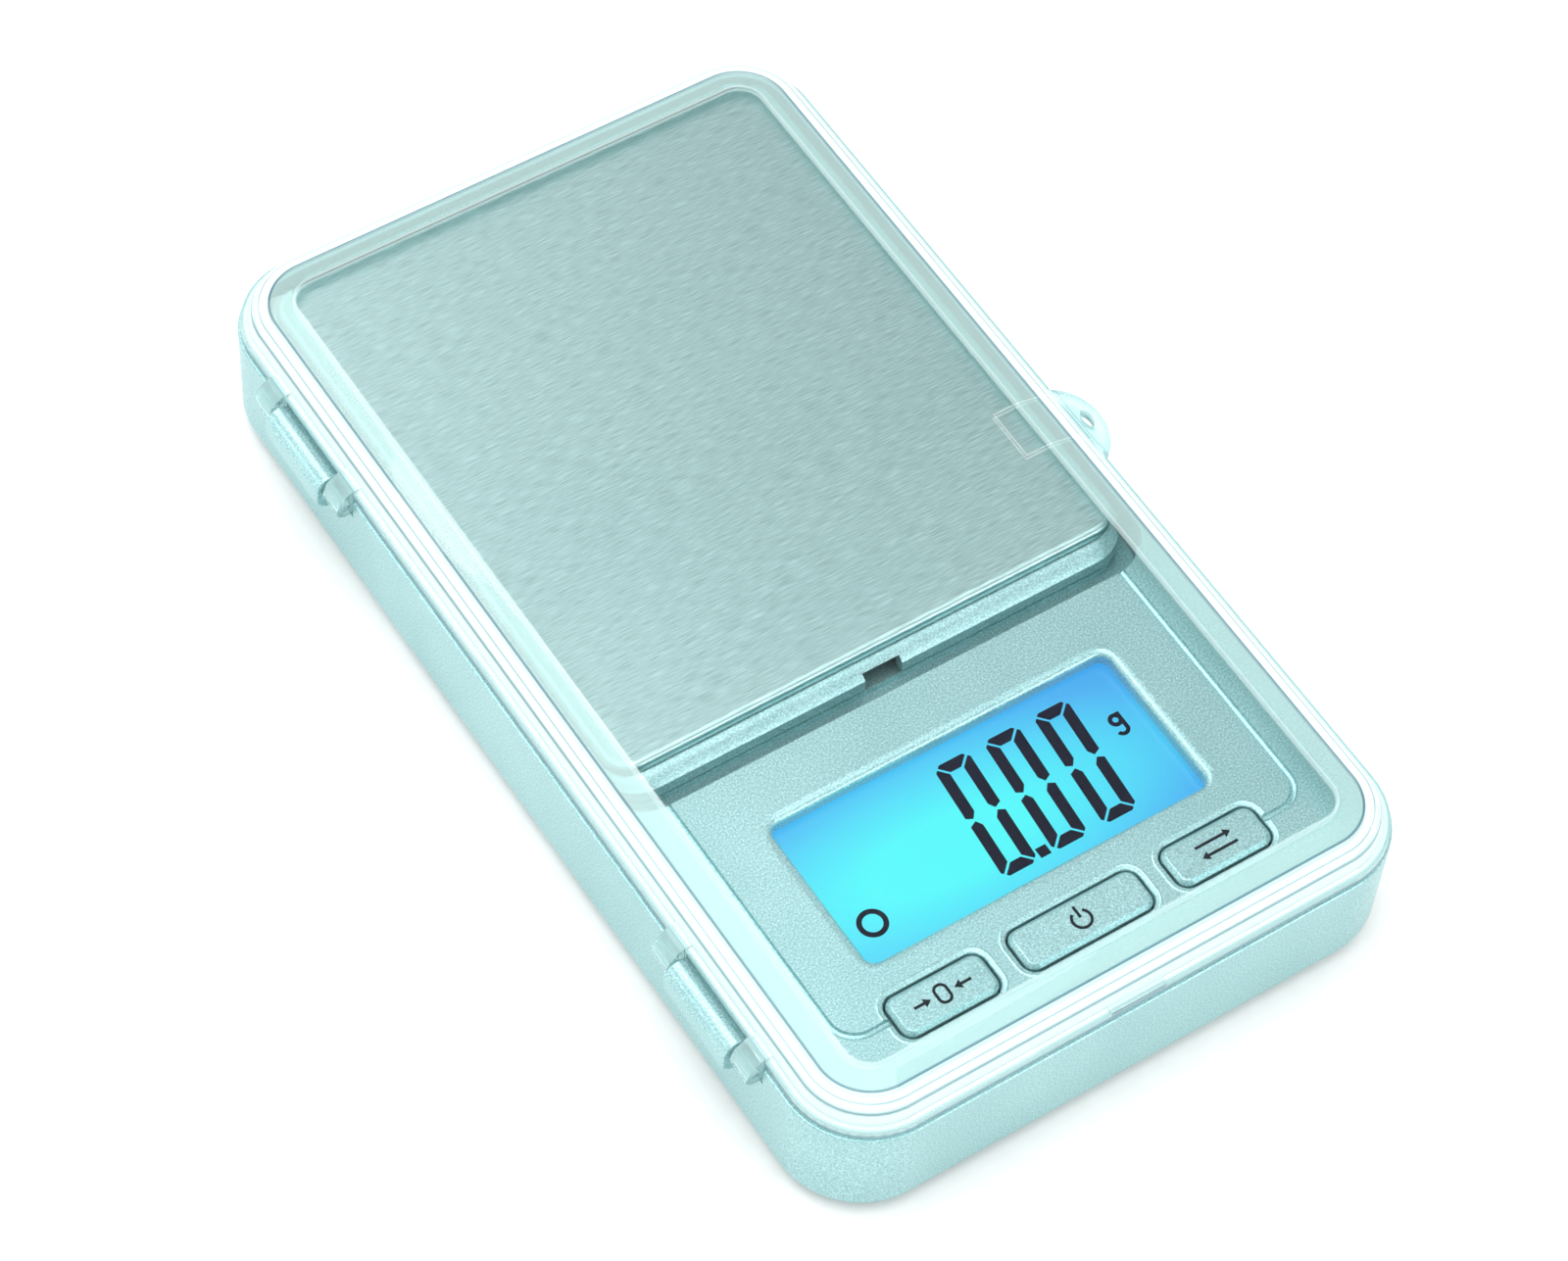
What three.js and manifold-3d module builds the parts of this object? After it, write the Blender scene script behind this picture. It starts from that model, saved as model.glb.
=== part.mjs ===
// Pocket digital gram scale with a hinged clear lid, in millimetres.
// +Z is up, +Y points to the weighing end, and the lid is hinged along the -X side.
// The origin is the centre of the footprint, on the surface that the scale stands on.
import * as THREE from "three";
import { mergeVertices } from "three/addons/utils/BufferGeometryUtils.js";
import Module from "manifold-3d";

// ---------- driving dimensions ----------
const GAP = 0.3; // clearance left between pieces that touch or slide
const BEYOND = 5; // how far a cutting solid runs past the wall it opens
const CORNER_STEPS = 3;

const CASE = { halfX: 34.6, halfY: 60, corner: 9, wall: 1.4, bottom: 0.7, floor: 2.7, rim: 14.2 };
const DECK = { halfX: 32.9, halfY: 58.3, corner: 7.3, wall: 1.4, top: 15, underside: 13.4, skirt: 9 };
const WELL = { halfX: 32, front: -18.1, back: 57.4, corner: 5.5, floor: 12.2, underside: 11 };
const LID = { halfX: 34.3, halfY: 59.8, corner: 8.7, rim: 14.5, top: 18.6, wall: 1.1 };
const HINGE = { x: -35.2, z: 13.2, y: 38.4, barrel: 1.6, halfLength: 5.3, pin: 0.5, bore: 0.65 };
const LUG = { length: 2.9, radius: 1.1, pocket: 0.8, notchX: -32.6, notchTop: 14.95 };
const TAB = { y: -0.6, reach: 36.8, radius: 6.25, thickness: 1.4 };
const TAB_EYE = { x: 35.2, spread: 1.5, radius: 2 };

const TRAY = { halfX: 30.1, front: -13.85, back: 55, corner: 3, top: 16.8, sheet: 0.5, skirt: 15.6 };
const CARRIER = { halfX: 31.1, front: -15.7, back: 56.6, corner: 5, top: 16, bottom: 12.8, wall: 1.1 };
const CARRIER_NOTCH = { half: 2.2, sideFront: 18, sideBack: 22, top: 14.8 };
const CELL = { y: 6.5, halfX: 4.5, halfY: 20.5, bottom: 4.8, top: 10, hole: 1.5, driverHole: 2.6 };
const CELL_MOUNT_Y = [-11.7, -5.7];
const CELL_LOAD_Y = [18.5, 24.5];
const CELL_SEAT = { halfX: 5.5, front: -14.6, back: -2.8 };
const FLEXURE = { offset: 4.2, radius: 1.9, slotHalf: 0.9 };
const GAUGE = { halfX: 3, front: 0.5, back: 12.5, gap: 0.25, thickness: 0.35 };
const BOSS = { y: 21.5, halfX: 4.5, halfY: 6, bottom: 10.6, clearance: 0.8 };

const LCD = { halfX: 20, front: -43.3, back: -25.2, corner: 1.2, lip: 0.9 };
const LCD_FRAME = { halfX: 23.6, front: -46, back: -22, bottom: 8.9, top: 13.1, wall: 0.7 };
const GLASS = { halfX: 22.5, front: -44.9, back: -23.1, bottom: 11.2, top: 12.9 };
const BACKLIGHT = { halfX: 21, front: -44.8, back: -25.5, bottom: 8.9, top: 10.9 };
const CONNECTOR = { halfX: 20, front: -25.1, back: -23.3, bottom: 8.9, top: 10.9 };
const BUTTON = { y: -49.65, halfY: 2.65, corner: 1.6, top: 15.35, gap: 0.35 };
const BUTTON_FOOT = { reach: 0.4, bottom: 12.7, top: 13.1, stem: 1.4, stemBottom: 12.4 };
const BUTTONS = [
  { name: "button_left", x: -16.05, halfX: 5.35 },
  { name: "button_centre", x: 0, halfX: 7.3 },
  { name: "button_right", x: 16.05, halfX: 5.35 },
];
const GROOVE = { halfX: 27.1, front: -49.5, corner: 3, width: 0.7, depth: 0.35, stop: 21.9 };
const BOARD = { halfX: 26.2, front: -56.2, back: -20.5, bottom: 7.2, top: 8.6 };
const CHIP = { halfX: 4, front: -42, back: -34, bottom: 5.7, top: 6.9 };
const SWITCH = { half: 2.2, body: 2.9, plunger: 1.2, plungerTop: 3.5 };

const BATTERY = { radius: 5.25, length: 44.5, nub: 0.8, nubRadius: 1.9, z: 7.95 };
const BATTERY_Y = [37.05, 47.75];
const HUMP = { halfX: 24.6, front: 30.5, back: 54.3, top: 14.5, wall: 0.9 };
const BAY = { halfX: 25.6, front: 30.3, wall: 1, top: 8.7 };
const CONTACT = { thickness: 0.3, bottom: 4, top: 10.4 };
const COIL = { turns: 2.5, length: 1.15, wide: 2.9, narrow: 1.4, wire: 0.18 };
const DOOR = { halfX: 23.7, front: 31.9, top: 2.4, stop: 4 };
const TONGUE = { reach: 0.9, bottom: 1.4, top: 1.9 };
const GRIP = { y: [44, 46, 48, 50, 52], halfX: 7, halfWidth: 0.4, top: 1.1 };

const FOOT = { x: 29, y: 50, radius: 2.8, height: 1.3, recess: 1.6 };
const CASE_SCREWS = [
  ["case_screw_front_left", -29.3, -40],
  ["case_screw_front_right", 29.3, -40],
  ["case_screw_rear_left", -29.3, 24],
  ["case_screw_rear_right", 29.3, 24],
];
const SCREW_POST = { radius: 3.2, top: 4.6, hole: 1.3, headRecess: 2.4, seat: 2.6, drilledTo: 6 };
const SCREW_BOSS = { radius: 2.4, drilledTo: 10.2 };
const BOARD_SCREW = { x: 24.2, y: -54, boss: 1.9, hole: 1, drilledTo: 12.4 };
const CASE_SCREW = { head: 2, headHeight: 1.1, shank: 0.95, length: 7, z: 1.2 };
const CELL_SCREW = { head: 2.2, headHeight: 1.2, shank: 1.15, length: 5.5, z: 1.1 };
const BOARD_SCREW_SIZE = { head: 1.6, headHeight: 0.9, shank: 0.65, length: 4.6 };

// ---------- materials ----------
function material(color, roughness, metalness = 0) {
  return new THREE.MeshStandardMaterial({ color, roughness, metalness });
}
const silverPlastic = () => material("#a9c9cd", 0.42, 0.25);
const clearPlastic = () => {
  const clear = material("#e6fbfa", 0.06);
  clear.transparent = true;
  clear.opacity = 0.3;
  return clear;
};
const brushedSteel = () => material("#b4bfbf", 0.34, 1);
const platedSteel = () => material("#b9bcc0", 0.3, 1);
const aluminium = () => material("#c3c6c9", 0.4, 1);
const blackRubber = () => material("#1d1f20", 0.85);
const circuitBoard = () => material("#1f6b3c", 0.5);
const blackPlastic = () => material("#1b1c1e", 0.5);
const whitePlastic = () => material("#e9eceb", 0.5);

// ---------- solids ----------
const wasm = await Module();
wasm.setup();

function solid(geometry) {
  const bare = geometry.clone();
  bare.deleteAttribute("normal");
  bare.deleteAttribute("uv");
  const merged = mergeVertices(bare, 1e-4);
  const vertProperties = new Float32Array(merged.attributes.position.array);
  const triVerts = new Uint32Array(merged.index.array);
  return new wasm.Manifold(new wasm.Mesh({ numProp: 3, vertProperties, triVerts }));
}

function join(...solids) {
  return solids.reduce((whole, piece) => whole.add(piece));
}

function cut(body, ...tools) {
  return tools.reduce((rest, tool) => rest.subtract(tool), body);
}

// A rounded rectangle drawn round its own centre.
function roundedRectangle(halfX, halfY, radius) {
  const shape = new THREE.Shape();
  const x = halfX - radius;
  const y = halfY - radius;
  shape.absarc(x, y, radius, 0, Math.PI / 2);
  shape.absarc(-x, y, radius, Math.PI / 2, Math.PI);
  shape.absarc(-x, -y, radius, Math.PI, 1.5 * Math.PI);
  shape.absarc(x, -y, radius, 1.5 * Math.PI, 2 * Math.PI);
  return shape;
}

// A rounded rectangle carried up through levels of [z, inset in x, inset in y].
function lofted({ halfX, halfY, corner, y = 0 }, levels) {
  const steps = levels.length - 1;
  const options = { depth: steps, steps, bevelEnabled: false, curveSegments: CORNER_STEPS };
  const geometry = new THREE.ExtrudeGeometry(roundedRectangle(halfX, halfY, corner), options);
  const points = geometry.attributes.position;
  for (let i = 0; i < points.count; i++) {
    const [z, insetX, insetY = insetX] = levels[Math.round(points.getZ(i))];
    const centreX = THREE.MathUtils.clamp(points.getX(i), corner - halfX, halfX - corner);
    const centreY = THREE.MathUtils.clamp(points.getY(i), corner - halfY, halfY - corner);
    const alongX = (points.getX(i) - centreX) / corner;
    const alongY = (points.getY(i) - centreY) / corner;
    points.setXYZ(
      i,
      centreX + alongX * (corner - insetX),
      y + centreY + alongY * (corner - insetY),
      z,
    );
  }
  return solid(geometry);
}

// Centre and half length of a span along Y.
function span(front, back) {
  return { y: (front + back) / 2, halfY: (back - front) / 2 };
}

function block(x0, x1, y0, y1, z0, z1) {
  const box = new THREE.BoxGeometry(x1 - x0, y1 - y0, z1 - z0);
  return solid(box.translate((x0 + x1) / 2, (y0 + y1) / 2, (z0 + z1) / 2));
}

function uprightRod(x, y, radius, z0, z1, sides = 20) {
  const rod = new THREE.CylinderGeometry(radius, radius, z1 - z0, sides).rotateX(Math.PI / 2);
  return solid(rod.translate(x, y, (z0 + z1) / 2));
}

// A rod along Y, centred on (x, z).
function rodAlongY(x, z, radius, y0, y1, sides = 20) {
  const rod = new THREE.CylinderGeometry(radius, radius, y1 - y0, sides);
  return solid(rod.translate(x, (y0 + y1) / 2, z));
}

function rodAlongX(y, z, radius, x0, x1, sides = 20) {
  const rod = new THREE.CylinderGeometry(radius, radius, x1 - x0, sides).rotateZ(Math.PI / 2);
  return solid(rod.translate((x0 + x1) / 2, y, z));
}

// An outline of [x, z] points swept along Y from y0 to y1.
function sweptAlongY(outline, y0, y1) {
  const shape = new THREE.Shape(outline.map(([x, z]) => new THREE.Vector2(x, z)));
  const bar = new THREE.ExtrudeGeometry(shape, { depth: y1 - y0, bevelEnabled: false });
  return solid(bar.rotateX(Math.PI / 2).translate(0, y1, 0));
}

// An outline of [radius, z] points turned about the Z axis.
function turned(outline, sides = 20) {
  const profile = outline.map(([radius, z]) => new THREE.Vector2(radius, z));
  return solid(new THREE.LatheGeometry(profile, sides).rotateX(Math.PI / 2));
}

function mesh(name, body, finish, place = [0, 0, 0]) {
  const shape = body.getMesh();
  const geometry = new THREE.BufferGeometry();
  geometry.setAttribute("position", new THREE.BufferAttribute(shape.vertProperties, 3));
  geometry.setIndex(new THREE.BufferAttribute(shape.triVerts, 1));
  geometry.computeVertexNormals();
  const piece = new THREE.Mesh(geometry, finish);
  piece.name = name;
  piece.position.set(...place);
  return piece;
}

function group(...pieces) {
  const set = new THREE.Group();
  set.add(...pieces);
  return set;
}

// ---------- hinge places ----------
const BARRELS = [-HINGE.y, HINGE.y].map((y) => ({
  front: y - HINGE.halfLength,
  back: y + HINGE.halfLength,
}));
const LUGS = BARRELS.flatMap(({ front, back }) => [
  { front: front - GAP - LUG.length, back: front - GAP },
  { front: back + GAP, back: back + GAP + LUG.length },
]);

// ---------- casing ----------
// The tub's outline, with its lower edge rolled under.
function caseBody() {
  return lofted(CASE, [
    [CASE.bottom, 2],
    [CASE.bottom + 0.25, 1.1],
    [CASE.bottom + 0.8, 0.45],
    [CASE.floor, 0],
    [CASE.rim, 0],
  ]);
}

// A half-round knuckle standing out of the case's side, with a flat flank below it.
function hingeBarrel({ front, back }) {
  const { x, z, barrel } = HINGE;
  const outer = x - barrel;
  const root = -CASE.halfX + 0.6;
  const flank = [
    [root, z],
    [outer, z],
    [outer, z - 1.9],
    [outer + 0.9, z - 2.8],
    [root, z - 2.8],
  ];
  return join(rodAlongY(x, z, barrel, front, back, 24), sweptAlongY(flank, front, back));
}

function bottomCase() {
  const hollow = lofted(
    {
      halfX: CASE.halfX - CASE.wall,
      halfY: CASE.halfY - CASE.wall,
      corner: CASE.corner - CASE.wall,
    },
    [
      [CASE.floor, 0],
      [CASE.rim + BEYOND, 0],
    ],
  );
  const bayBack = CASE.halfY - 0.5;
  const sunk = CASE.floor - 0.1;
  const bay = join(
    block(-BAY.halfX, BAY.halfX, BAY.front, BAY.front + BAY.wall, sunk, BAY.top),
    block(-BAY.halfX, BAY.wall - BAY.halfX, BAY.front, bayBack, sunk, BAY.top),
    block(BAY.halfX - BAY.wall, BAY.halfX, BAY.front, bayBack, sunk, BAY.top),
  );
  const seatTop = CELL.bottom - GAP;
  const cellSeat = block(-CELL_SEAT.halfX, CELL_SEAT.halfX, CELL_SEAT.front, CELL_SEAT.back, sunk, seatTop);
  const posts = CASE_SCREWS.map(([, x, y]) =>
    uprightRod(x, y, SCREW_POST.radius, sunk, SCREW_POST.top),
  );
  const tub = join(caseBody().subtract(hollow), bay, cellSeat, ...posts, ...BARRELS.map(hingeBarrel));

  const doorway = block(
    -DOOR.halfX - GAP,
    DOOR.halfX + GAP,
    DOOR.front - GAP,
    CASE.halfY + BEYOND,
    -BEYOND,
    CASE.floor + 0.2,
  );
  const grooveX = DOOR.halfX + TONGUE.reach + 0.4;
  const grooves = block(
    -grooveX,
    grooveX,
    DOOR.front - GAP,
    CASE.halfY + BEYOND,
    TONGUE.bottom - GAP,
    TONGUE.top + GAP,
  );
  const pinBores = BARRELS.map(({ front, back }) =>
    rodAlongY(HINGE.x, HINGE.z, HINGE.bore, front - GAP, back + GAP, 16),
  );
  const pocketBottom = HINGE.z - LUG.radius - GAP;
  const lugPockets = LUGS.map(({ front, back }) =>
    block(
      -CASE.halfX - BEYOND,
      LUG.pocket - CASE.halfX,
      front - GAP,
      back + GAP,
      pocketBottom,
      CASE.rim + BEYOND,
    ),
  );
  const footRecesses = footPlaces().map(([x, y]) =>
    uprightRod(x, y, FOOT.radius + GAP, -BEYOND, FOOT.recess),
  );
  const caseScrewHoles = CASE_SCREWS.flatMap(([, x, y]) => [
    uprightRod(x, y, SCREW_POST.hole, -BEYOND, SCREW_POST.drilledTo, 16),
    uprightRod(x, y, SCREW_POST.headRecess, -BEYOND, SCREW_POST.seat),
  ]);
  const cellScrewHoles = CELL_MOUNT_Y.flatMap((y) => [
    uprightRod(0, y, CELL.hole, -BEYOND, SCREW_POST.drilledTo, 16),
    uprightRod(0, y, CELL.driverHole, -BEYOND, SCREW_POST.seat),
  ]);
  const driverHoles = CELL_LOAD_Y.map((y) =>
    uprightRod(0, y, CELL.driverHole, -BEYOND, CASE.floor + 1.3),
  );
  return cut(
    tub,
    doorway,
    grooves,
    ...lugPockets,
    ...pinBores,
    ...footRecesses,
    ...caseScrewHoles,
    ...cellScrewHoles,
    ...driverHoles,
  );
}

function batteryDoor() {
  const { halfX, front, top, stop } = DOOR;
  const plate = caseBody().intersect(block(-halfX, halfX, front, CASE.halfY + BEYOND, 0, top));
  const edge = halfX + TONGUE.reach;
  const tongues = block(-edge, edge, front, CASE.halfY - stop, TONGUE.bottom, TONGUE.top);
  const grips = GRIP.y.map((y) =>
    block(-GRIP.halfX, GRIP.halfX, y - GRIP.halfWidth, y + GRIP.halfWidth, -BEYOND, GRIP.top),
  );
  return cut(join(plate, tongues), ...grips);
}

// The deck: a lid over the tub, with the well for the pan and the window for the display.
function topCase() {
  const deck = lofted(DECK, [
    [DECK.skirt, 0],
    [DECK.top - 0.3, 0],
    [DECK.top, 0.3],
  ]);
  const innerX = DECK.halfX - DECK.wall;
  const innerY = DECK.halfY - DECK.wall;
  const wellWall = WELL.front - 1.2;
  const underDeck = block(-innerX, innerX, -innerY, wellWall, 0, DECK.underside);
  const underWell = block(-innerX, innerX, wellWall - 1, innerY, 0, WELL.underside);
  const well = lofted({ ...WELL, ...span(WELL.front, WELL.back) }, [
    [WELL.floor, 0],
    [DECK.top + BEYOND, 0],
  ]);
  const hump = block(
    -HUMP.halfX,
    HUMP.halfX,
    HUMP.front,
    HUMP.back,
    WELL.underside + 0.1,
    HUMP.top,
  );
  const underHump = block(
    HUMP.wall - HUMP.halfX,
    HUMP.halfX - HUMP.wall,
    HUMP.front + HUMP.wall,
    HUMP.back - HUMP.wall,
    0,
    HUMP.top - 1,
  );
  const bossHole = block(
    -BOSS.halfX - BOSS.clearance,
    BOSS.halfX + BOSS.clearance,
    BOSS.y - BOSS.halfY - BOSS.clearance,
    BOSS.y + BOSS.halfY + BOSS.clearance,
    0,
    DECK.top,
  );
  const screwBosses = CASE_SCREWS.map(([, x, y]) => {
    const root = y < WELL.front ? DECK.underside + 0.2 : WELL.floor - 0.2;
    return uprightRod(x, y, SCREW_BOSS.radius, SCREW_POST.top + GAP, root);
  });
  const boardBosses = [-BOARD_SCREW.x, BOARD_SCREW.x].map((x) =>
    uprightRod(x, BOARD_SCREW.y, BOARD_SCREW.boss, BOARD.top + GAP, DECK.underside + 0.2),
  );
  const shell = join(
    cut(deck, underDeck, underWell, well).add(hump).subtract(underHump),
    ...screwBosses,
    ...boardBosses,
  );

  const { lip } = LCD;
  const displayOpening = lofted({ ...LCD, ...span(LCD.front, LCD.back) }, [
    [DECK.underside - 1, 0],
    [DECK.top - 0.5, 0],
    [DECK.top - 0.1, -0.5 * lip],
    [DECK.top + 0.1, -lip],
  ]);
  const buttonHoles = BUTTONS.map(({ x, halfX }) =>
    lofted({ halfX, halfY: BUTTON.halfY, corner: BUTTON.corner, y: BUTTON.y }, [
      [DECK.underside - 1, 0],
      [DECK.top - 0.25, 0],
      [DECK.top + 0.05, -0.3],
    ]).translate([x, 0, 0]),
  );
  const screwHoles = CASE_SCREWS.map(([, x, y]) =>
    uprightRod(x, y, SCREW_POST.hole, 0, SCREW_BOSS.drilledTo, 16),
  );
  const boardHoles = [-BOARD_SCREW.x, BOARD_SCREW.x].map((x) =>
    uprightRod(x, BOARD_SCREW.y, BOARD_SCREW.hole, 0, BOARD_SCREW.drilledTo, 14),
  );
  return cut(
    shell,
    displayOpening,
    ...buttonHoles,
    ...screwHoles,
    ...boardHoles,
    bossHole,
    deckGroove(),
  );
}

// The engraved line that frames the display on three sides.
function deckGroove() {
  const { halfX, front, corner, width, depth, stop } = GROOVE;
  const band = (offset) =>
    lofted({ halfX: halfX + offset, corner: corner + offset, ...span(front - offset, 20) }, [
      [DECK.top - depth, 0],
      [DECK.top + 1, 0],
    ]);
  const frame = band(width / 2).subtract(band(-width / 2));
  return cut(
    frame,
    block(-stop, stop, front - 2, front + 2, 0, DECK.top + 2),
    block(-CASE.halfX, CASE.halfX, WELL.front + 0.5, CASE.halfY, 0, DECK.top + 2),
  );
}

// ---------- clear lid ----------
function clearLid() {
  const outer = lofted(LID, [
    [LID.rim, 0],
    [15.2, 0.15],
    [16, 0.95, 1.1],
    [16.9, 1.6, 1.8],
    [17.7, 2.5, 2.35],
    [18.2, 3.8, 2.8],
    [LID.top, 5.7, 5.5],
  ]);
  const inner = lofted(LID, [
    [LID.rim - 1, LID.wall],
    [15.2, 1.25],
    [16, 2.05, 2.2],
    [16.6, 2.7, 2.8],
    [17, 3.4, 3.3],
    [17.4, 5.8, 5.7],
  ]);
  const lug = sweptAlongY(
    [
      [HINGE.x - LUG.radius, HINGE.z],
      [HINGE.x + LUG.radius, HINGE.z],
      [HINGE.x + LUG.radius, LID.rim],
      [-33.3, LID.rim],
      [-33, 15.8],
      [-34.7, 15.6],
      [-35.9, 14.6],
    ],
    0,
    LUG.length,
  ).add(rodAlongY(HINGE.x, HINGE.z, LUG.radius, 0, LUG.length));
  const lugs = LUGS.map(({ front }) => lug.translate([0, front, 0]));
  const tabCentre = TAB.reach - TAB.radius;
  const disc = uprightRod(tabCentre, TAB.y, TAB.radius, LID.rim, LID.rim + TAB.thickness, 40);
  const tab = disc.subtract(block(-CASE.halfX, LID.halfX - LID.wall + 0.05, -10, 10, 0, LID.top));
  // The tab's eye is shaped like a lens: what two crossing rods share.
  const [leftRod, rightRod] = [-TAB_EYE.spread, TAB_EYE.spread].map((offset) =>
    uprightRod(TAB_EYE.x + offset, TAB.y, TAB_EYE.radius, 0, LID.top, 32),
  );
  const eye = leftRod.intersect(rightRod);
  const barrelNotches = BARRELS.map(({ front, back }) =>
    block(-CASE.halfX - BEYOND, LUG.notchX, front - GAP, back + GAP, 0, LUG.notchTop),
  );
  const pinBores = LUGS.map(({ front, back }) =>
    rodAlongY(HINGE.x, HINGE.z, HINGE.bore, front - 1, back + 1, 16),
  );
  return cut(join(outer.subtract(inner), ...lugs, tab), ...barrelNotches, ...pinBores, eye);
}

function hingePin(name, y) {
  const reach = HINGE.halfLength + GAP + LUG.length - 0.2;
  return mesh(name, rodAlongY(0, 0, HINGE.pin, -reach, reach, 16), platedSteel(), [HINGE.x, y, HINGE.z]);
}

// ---------- weighing platform ----------
function weighingTray() {
  const outline = { ...TRAY, ...span(TRAY.front, TRAY.back) };
  const pressed = lofted(outline, [
    [TRAY.skirt, 0],
    [TRAY.top - 0.5, 0],
    [TRAY.top - 0.15, 0.15],
    [TRAY.top, 0.5],
  ]);
  const under = lofted(outline, [
    [TRAY.skirt - 1, TRAY.sheet],
    [TRAY.top - TRAY.sheet, TRAY.sheet],
  ]);
  return pressed.subtract(under);
}

function panCarrier() {
  const outline = { ...CARRIER, ...span(CARRIER.front, CARRIER.back) };
  const shoulder = TRAY.skirt - GAP;
  const skirt = lofted(outline, [
    [CARRIER.bottom, 0],
    [CARRIER.bottom + 1.2, 0.12],
    [CARRIER.bottom + 2, 0.5],
    [shoulder, 1.3],
  ]);
  const plateau = lofted(outline, [
    [shoulder - 0.1, 2.3, 2.8],
    [CARRIER.top, 2.3, 2.8],
  ]);
  const hollow = lofted(outline, [
    [CARRIER.bottom - 1, CARRIER.wall],
    [CARRIER.bottom + 1.2, CARRIER.wall + 0.2],
    [CARRIER.top - 1, CARRIER.wall + 1.4],
  ]);
  const boss = block(
    -BOSS.halfX,
    BOSS.halfX,
    BOSS.y - BOSS.halfY,
    BOSS.y + BOSS.halfY,
    BOSS.bottom,
    CARRIER.top - 0.5,
  );
  const { halfX, front, back } = CARRIER;
  const { half, sideFront, sideBack, top } = CARRIER_NOTCH;
  const notches = [
    [-half, half, front - 1, front + half],
    [-half, half, back - half, back + 1],
    [-halfX - 1, -halfX + half, sideFront, sideBack],
    [halfX - half, halfX + 1, sideFront, sideBack],
  ].map(([x0, x1, y0, y1]) => block(x0, x1, y0, y1, 0, top));
  const screwHoles = CELL_LOAD_Y.map((y) => uprightRod(0, y, CELL.hole, 0, CARRIER.top - 1.4, 16));
  return cut(join(skirt, plateau).subtract(hollow).add(boss), ...notches, ...screwHoles);
}

// ---------- load cell ----------
function loadCell() {
  const { y, halfX, halfY, bottom, top, hole } = CELL;
  const middle = (bottom + top) / 2;
  const beam = block(-halfX, halfX, y - halfY, y + halfY, bottom, top);
  const { offset, radius, slotHalf } = FLEXURE;
  const flexures = [-offset, offset].map((along) =>
    rodAlongX(y + along, middle, radius, -halfX - 1, halfX + 1),
  );
  const slot = block(
    -halfX - 1,
    halfX + 1,
    y - offset,
    y + offset,
    middle - slotHalf,
    middle + slotHalf,
  );
  const holes = [...CELL_MOUNT_Y, ...CELL_LOAD_Y].map((at) =>
    uprightRod(0, at, hole, 0, top + BEYOND, 16),
  );
  return cut(beam, ...flexures, slot, ...holes);
}

// ---------- screws and feet ----------
// A pan-head screw standing on its head, point up; z = 0 is the underside of the head.
function screw({ head, headHeight, shank, length }) {
  const outline = [
    [0, 0],
    [head - 0.3, 0],
    [head, 0.3],
    [head, headHeight],
    [shank, headHeight],
    [shank, headHeight + length - 0.6],
    [0, headHeight + length],
  ];
  const slotHalf = 0.25;
  const arm = 0.6 * head;
  return cut(
    turned(outline, 12),
    block(-arm, arm, -slotHalf, slotHalf, -1, 0.5),
    block(-slotHalf, slotHalf, -arm, arm, -1, 0.5),
  );
}

function footPlaces() {
  return [
    [-FOOT.x, -FOOT.y],
    [FOOT.x, -FOOT.y],
    [-FOOT.x, FOOT.y],
    [FOOT.x, FOOT.y],
  ];
}

function foot() {
  const { radius, height } = FOOT;
  return turned([
    [0, 0],
    [radius - 0.4, 0],
    [radius, 0.3],
    [radius, height],
    [0, height],
  ]);
}

// ---------- electronics ----------
function mainBoard() {
  const { halfX, front, back, bottom, top } = BOARD;
  const holes = [-BOARD_SCREW.x, BOARD_SCREW.x].map((x) =>
    uprightRod(x, BOARD_SCREW.y, BOARD_SCREW.hole, 0, BOARD_SCREW.drilledTo, 14),
  );
  return cut(block(-halfX, halfX, front, back, bottom, top), ...holes);
}

// z = 0 is the board's upper face.
function tactSwitch() {
  const { half, body, plunger, plungerTop } = SWITCH;
  return join(
    block(-half, half, -half, half, GAP, body),
    uprightRod(0, 0, plunger, body - 0.1, plungerTop, 16),
  );
}

function lcdFrame() {
  const { halfX, front, back, bottom, top, wall } = LCD_FRAME;
  const opening = block(wall - halfX, halfX - wall, front + wall, back - wall, 0, top + BEYOND);
  return block(-halfX, halfX, front, back, bottom, top).subtract(opening);
}

// A button cap on its flange, drawn about its own centre; z is the height above the ground.
function buttonCap(halfX) {
  const { halfY, corner, top, gap } = BUTTON;
  const { reach, stem } = BUTTON_FOOT;
  const cap = lofted({ halfX: halfX - gap, halfY: halfY - gap, corner: corner - gap }, [
    [BUTTON_FOOT.bottom + 0.1, 0],
    [top - 0.4, 0],
    [top - 0.12, 0.2],
    [top, 0.6],
  ]);
  const flange = block(
    -halfX - reach,
    halfX + reach,
    -halfY - reach,
    halfY + reach,
    BUTTON_FOOT.bottom,
    BUTTON_FOOT.top,
  );
  return join(cap, flange, uprightRod(0, 0, stem, BUTTON_FOOT.stemBottom, BUTTON_FOOT.bottom + 0.2, 16));
}

// ---------- batteries and contacts ----------
// A small cylindrical cell along X, with its positive nub at +X.
function battery() {
  const { radius, length, nub, nubRadius } = BATTERY;
  const outline = [
    [0, -length / 2],
    [radius - 0.3, -length / 2],
    [radius, 0.3 - length / 2],
    [radius, length / 2 - nub - 0.3],
    [radius - 0.3, length / 2 - nub],
    [nubRadius, length / 2 - nub],
    [nubRadius, length / 2],
    [0, length / 2],
  ];
  return turned(outline, 24).rotate([0, 90, 0]);
}

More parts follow.
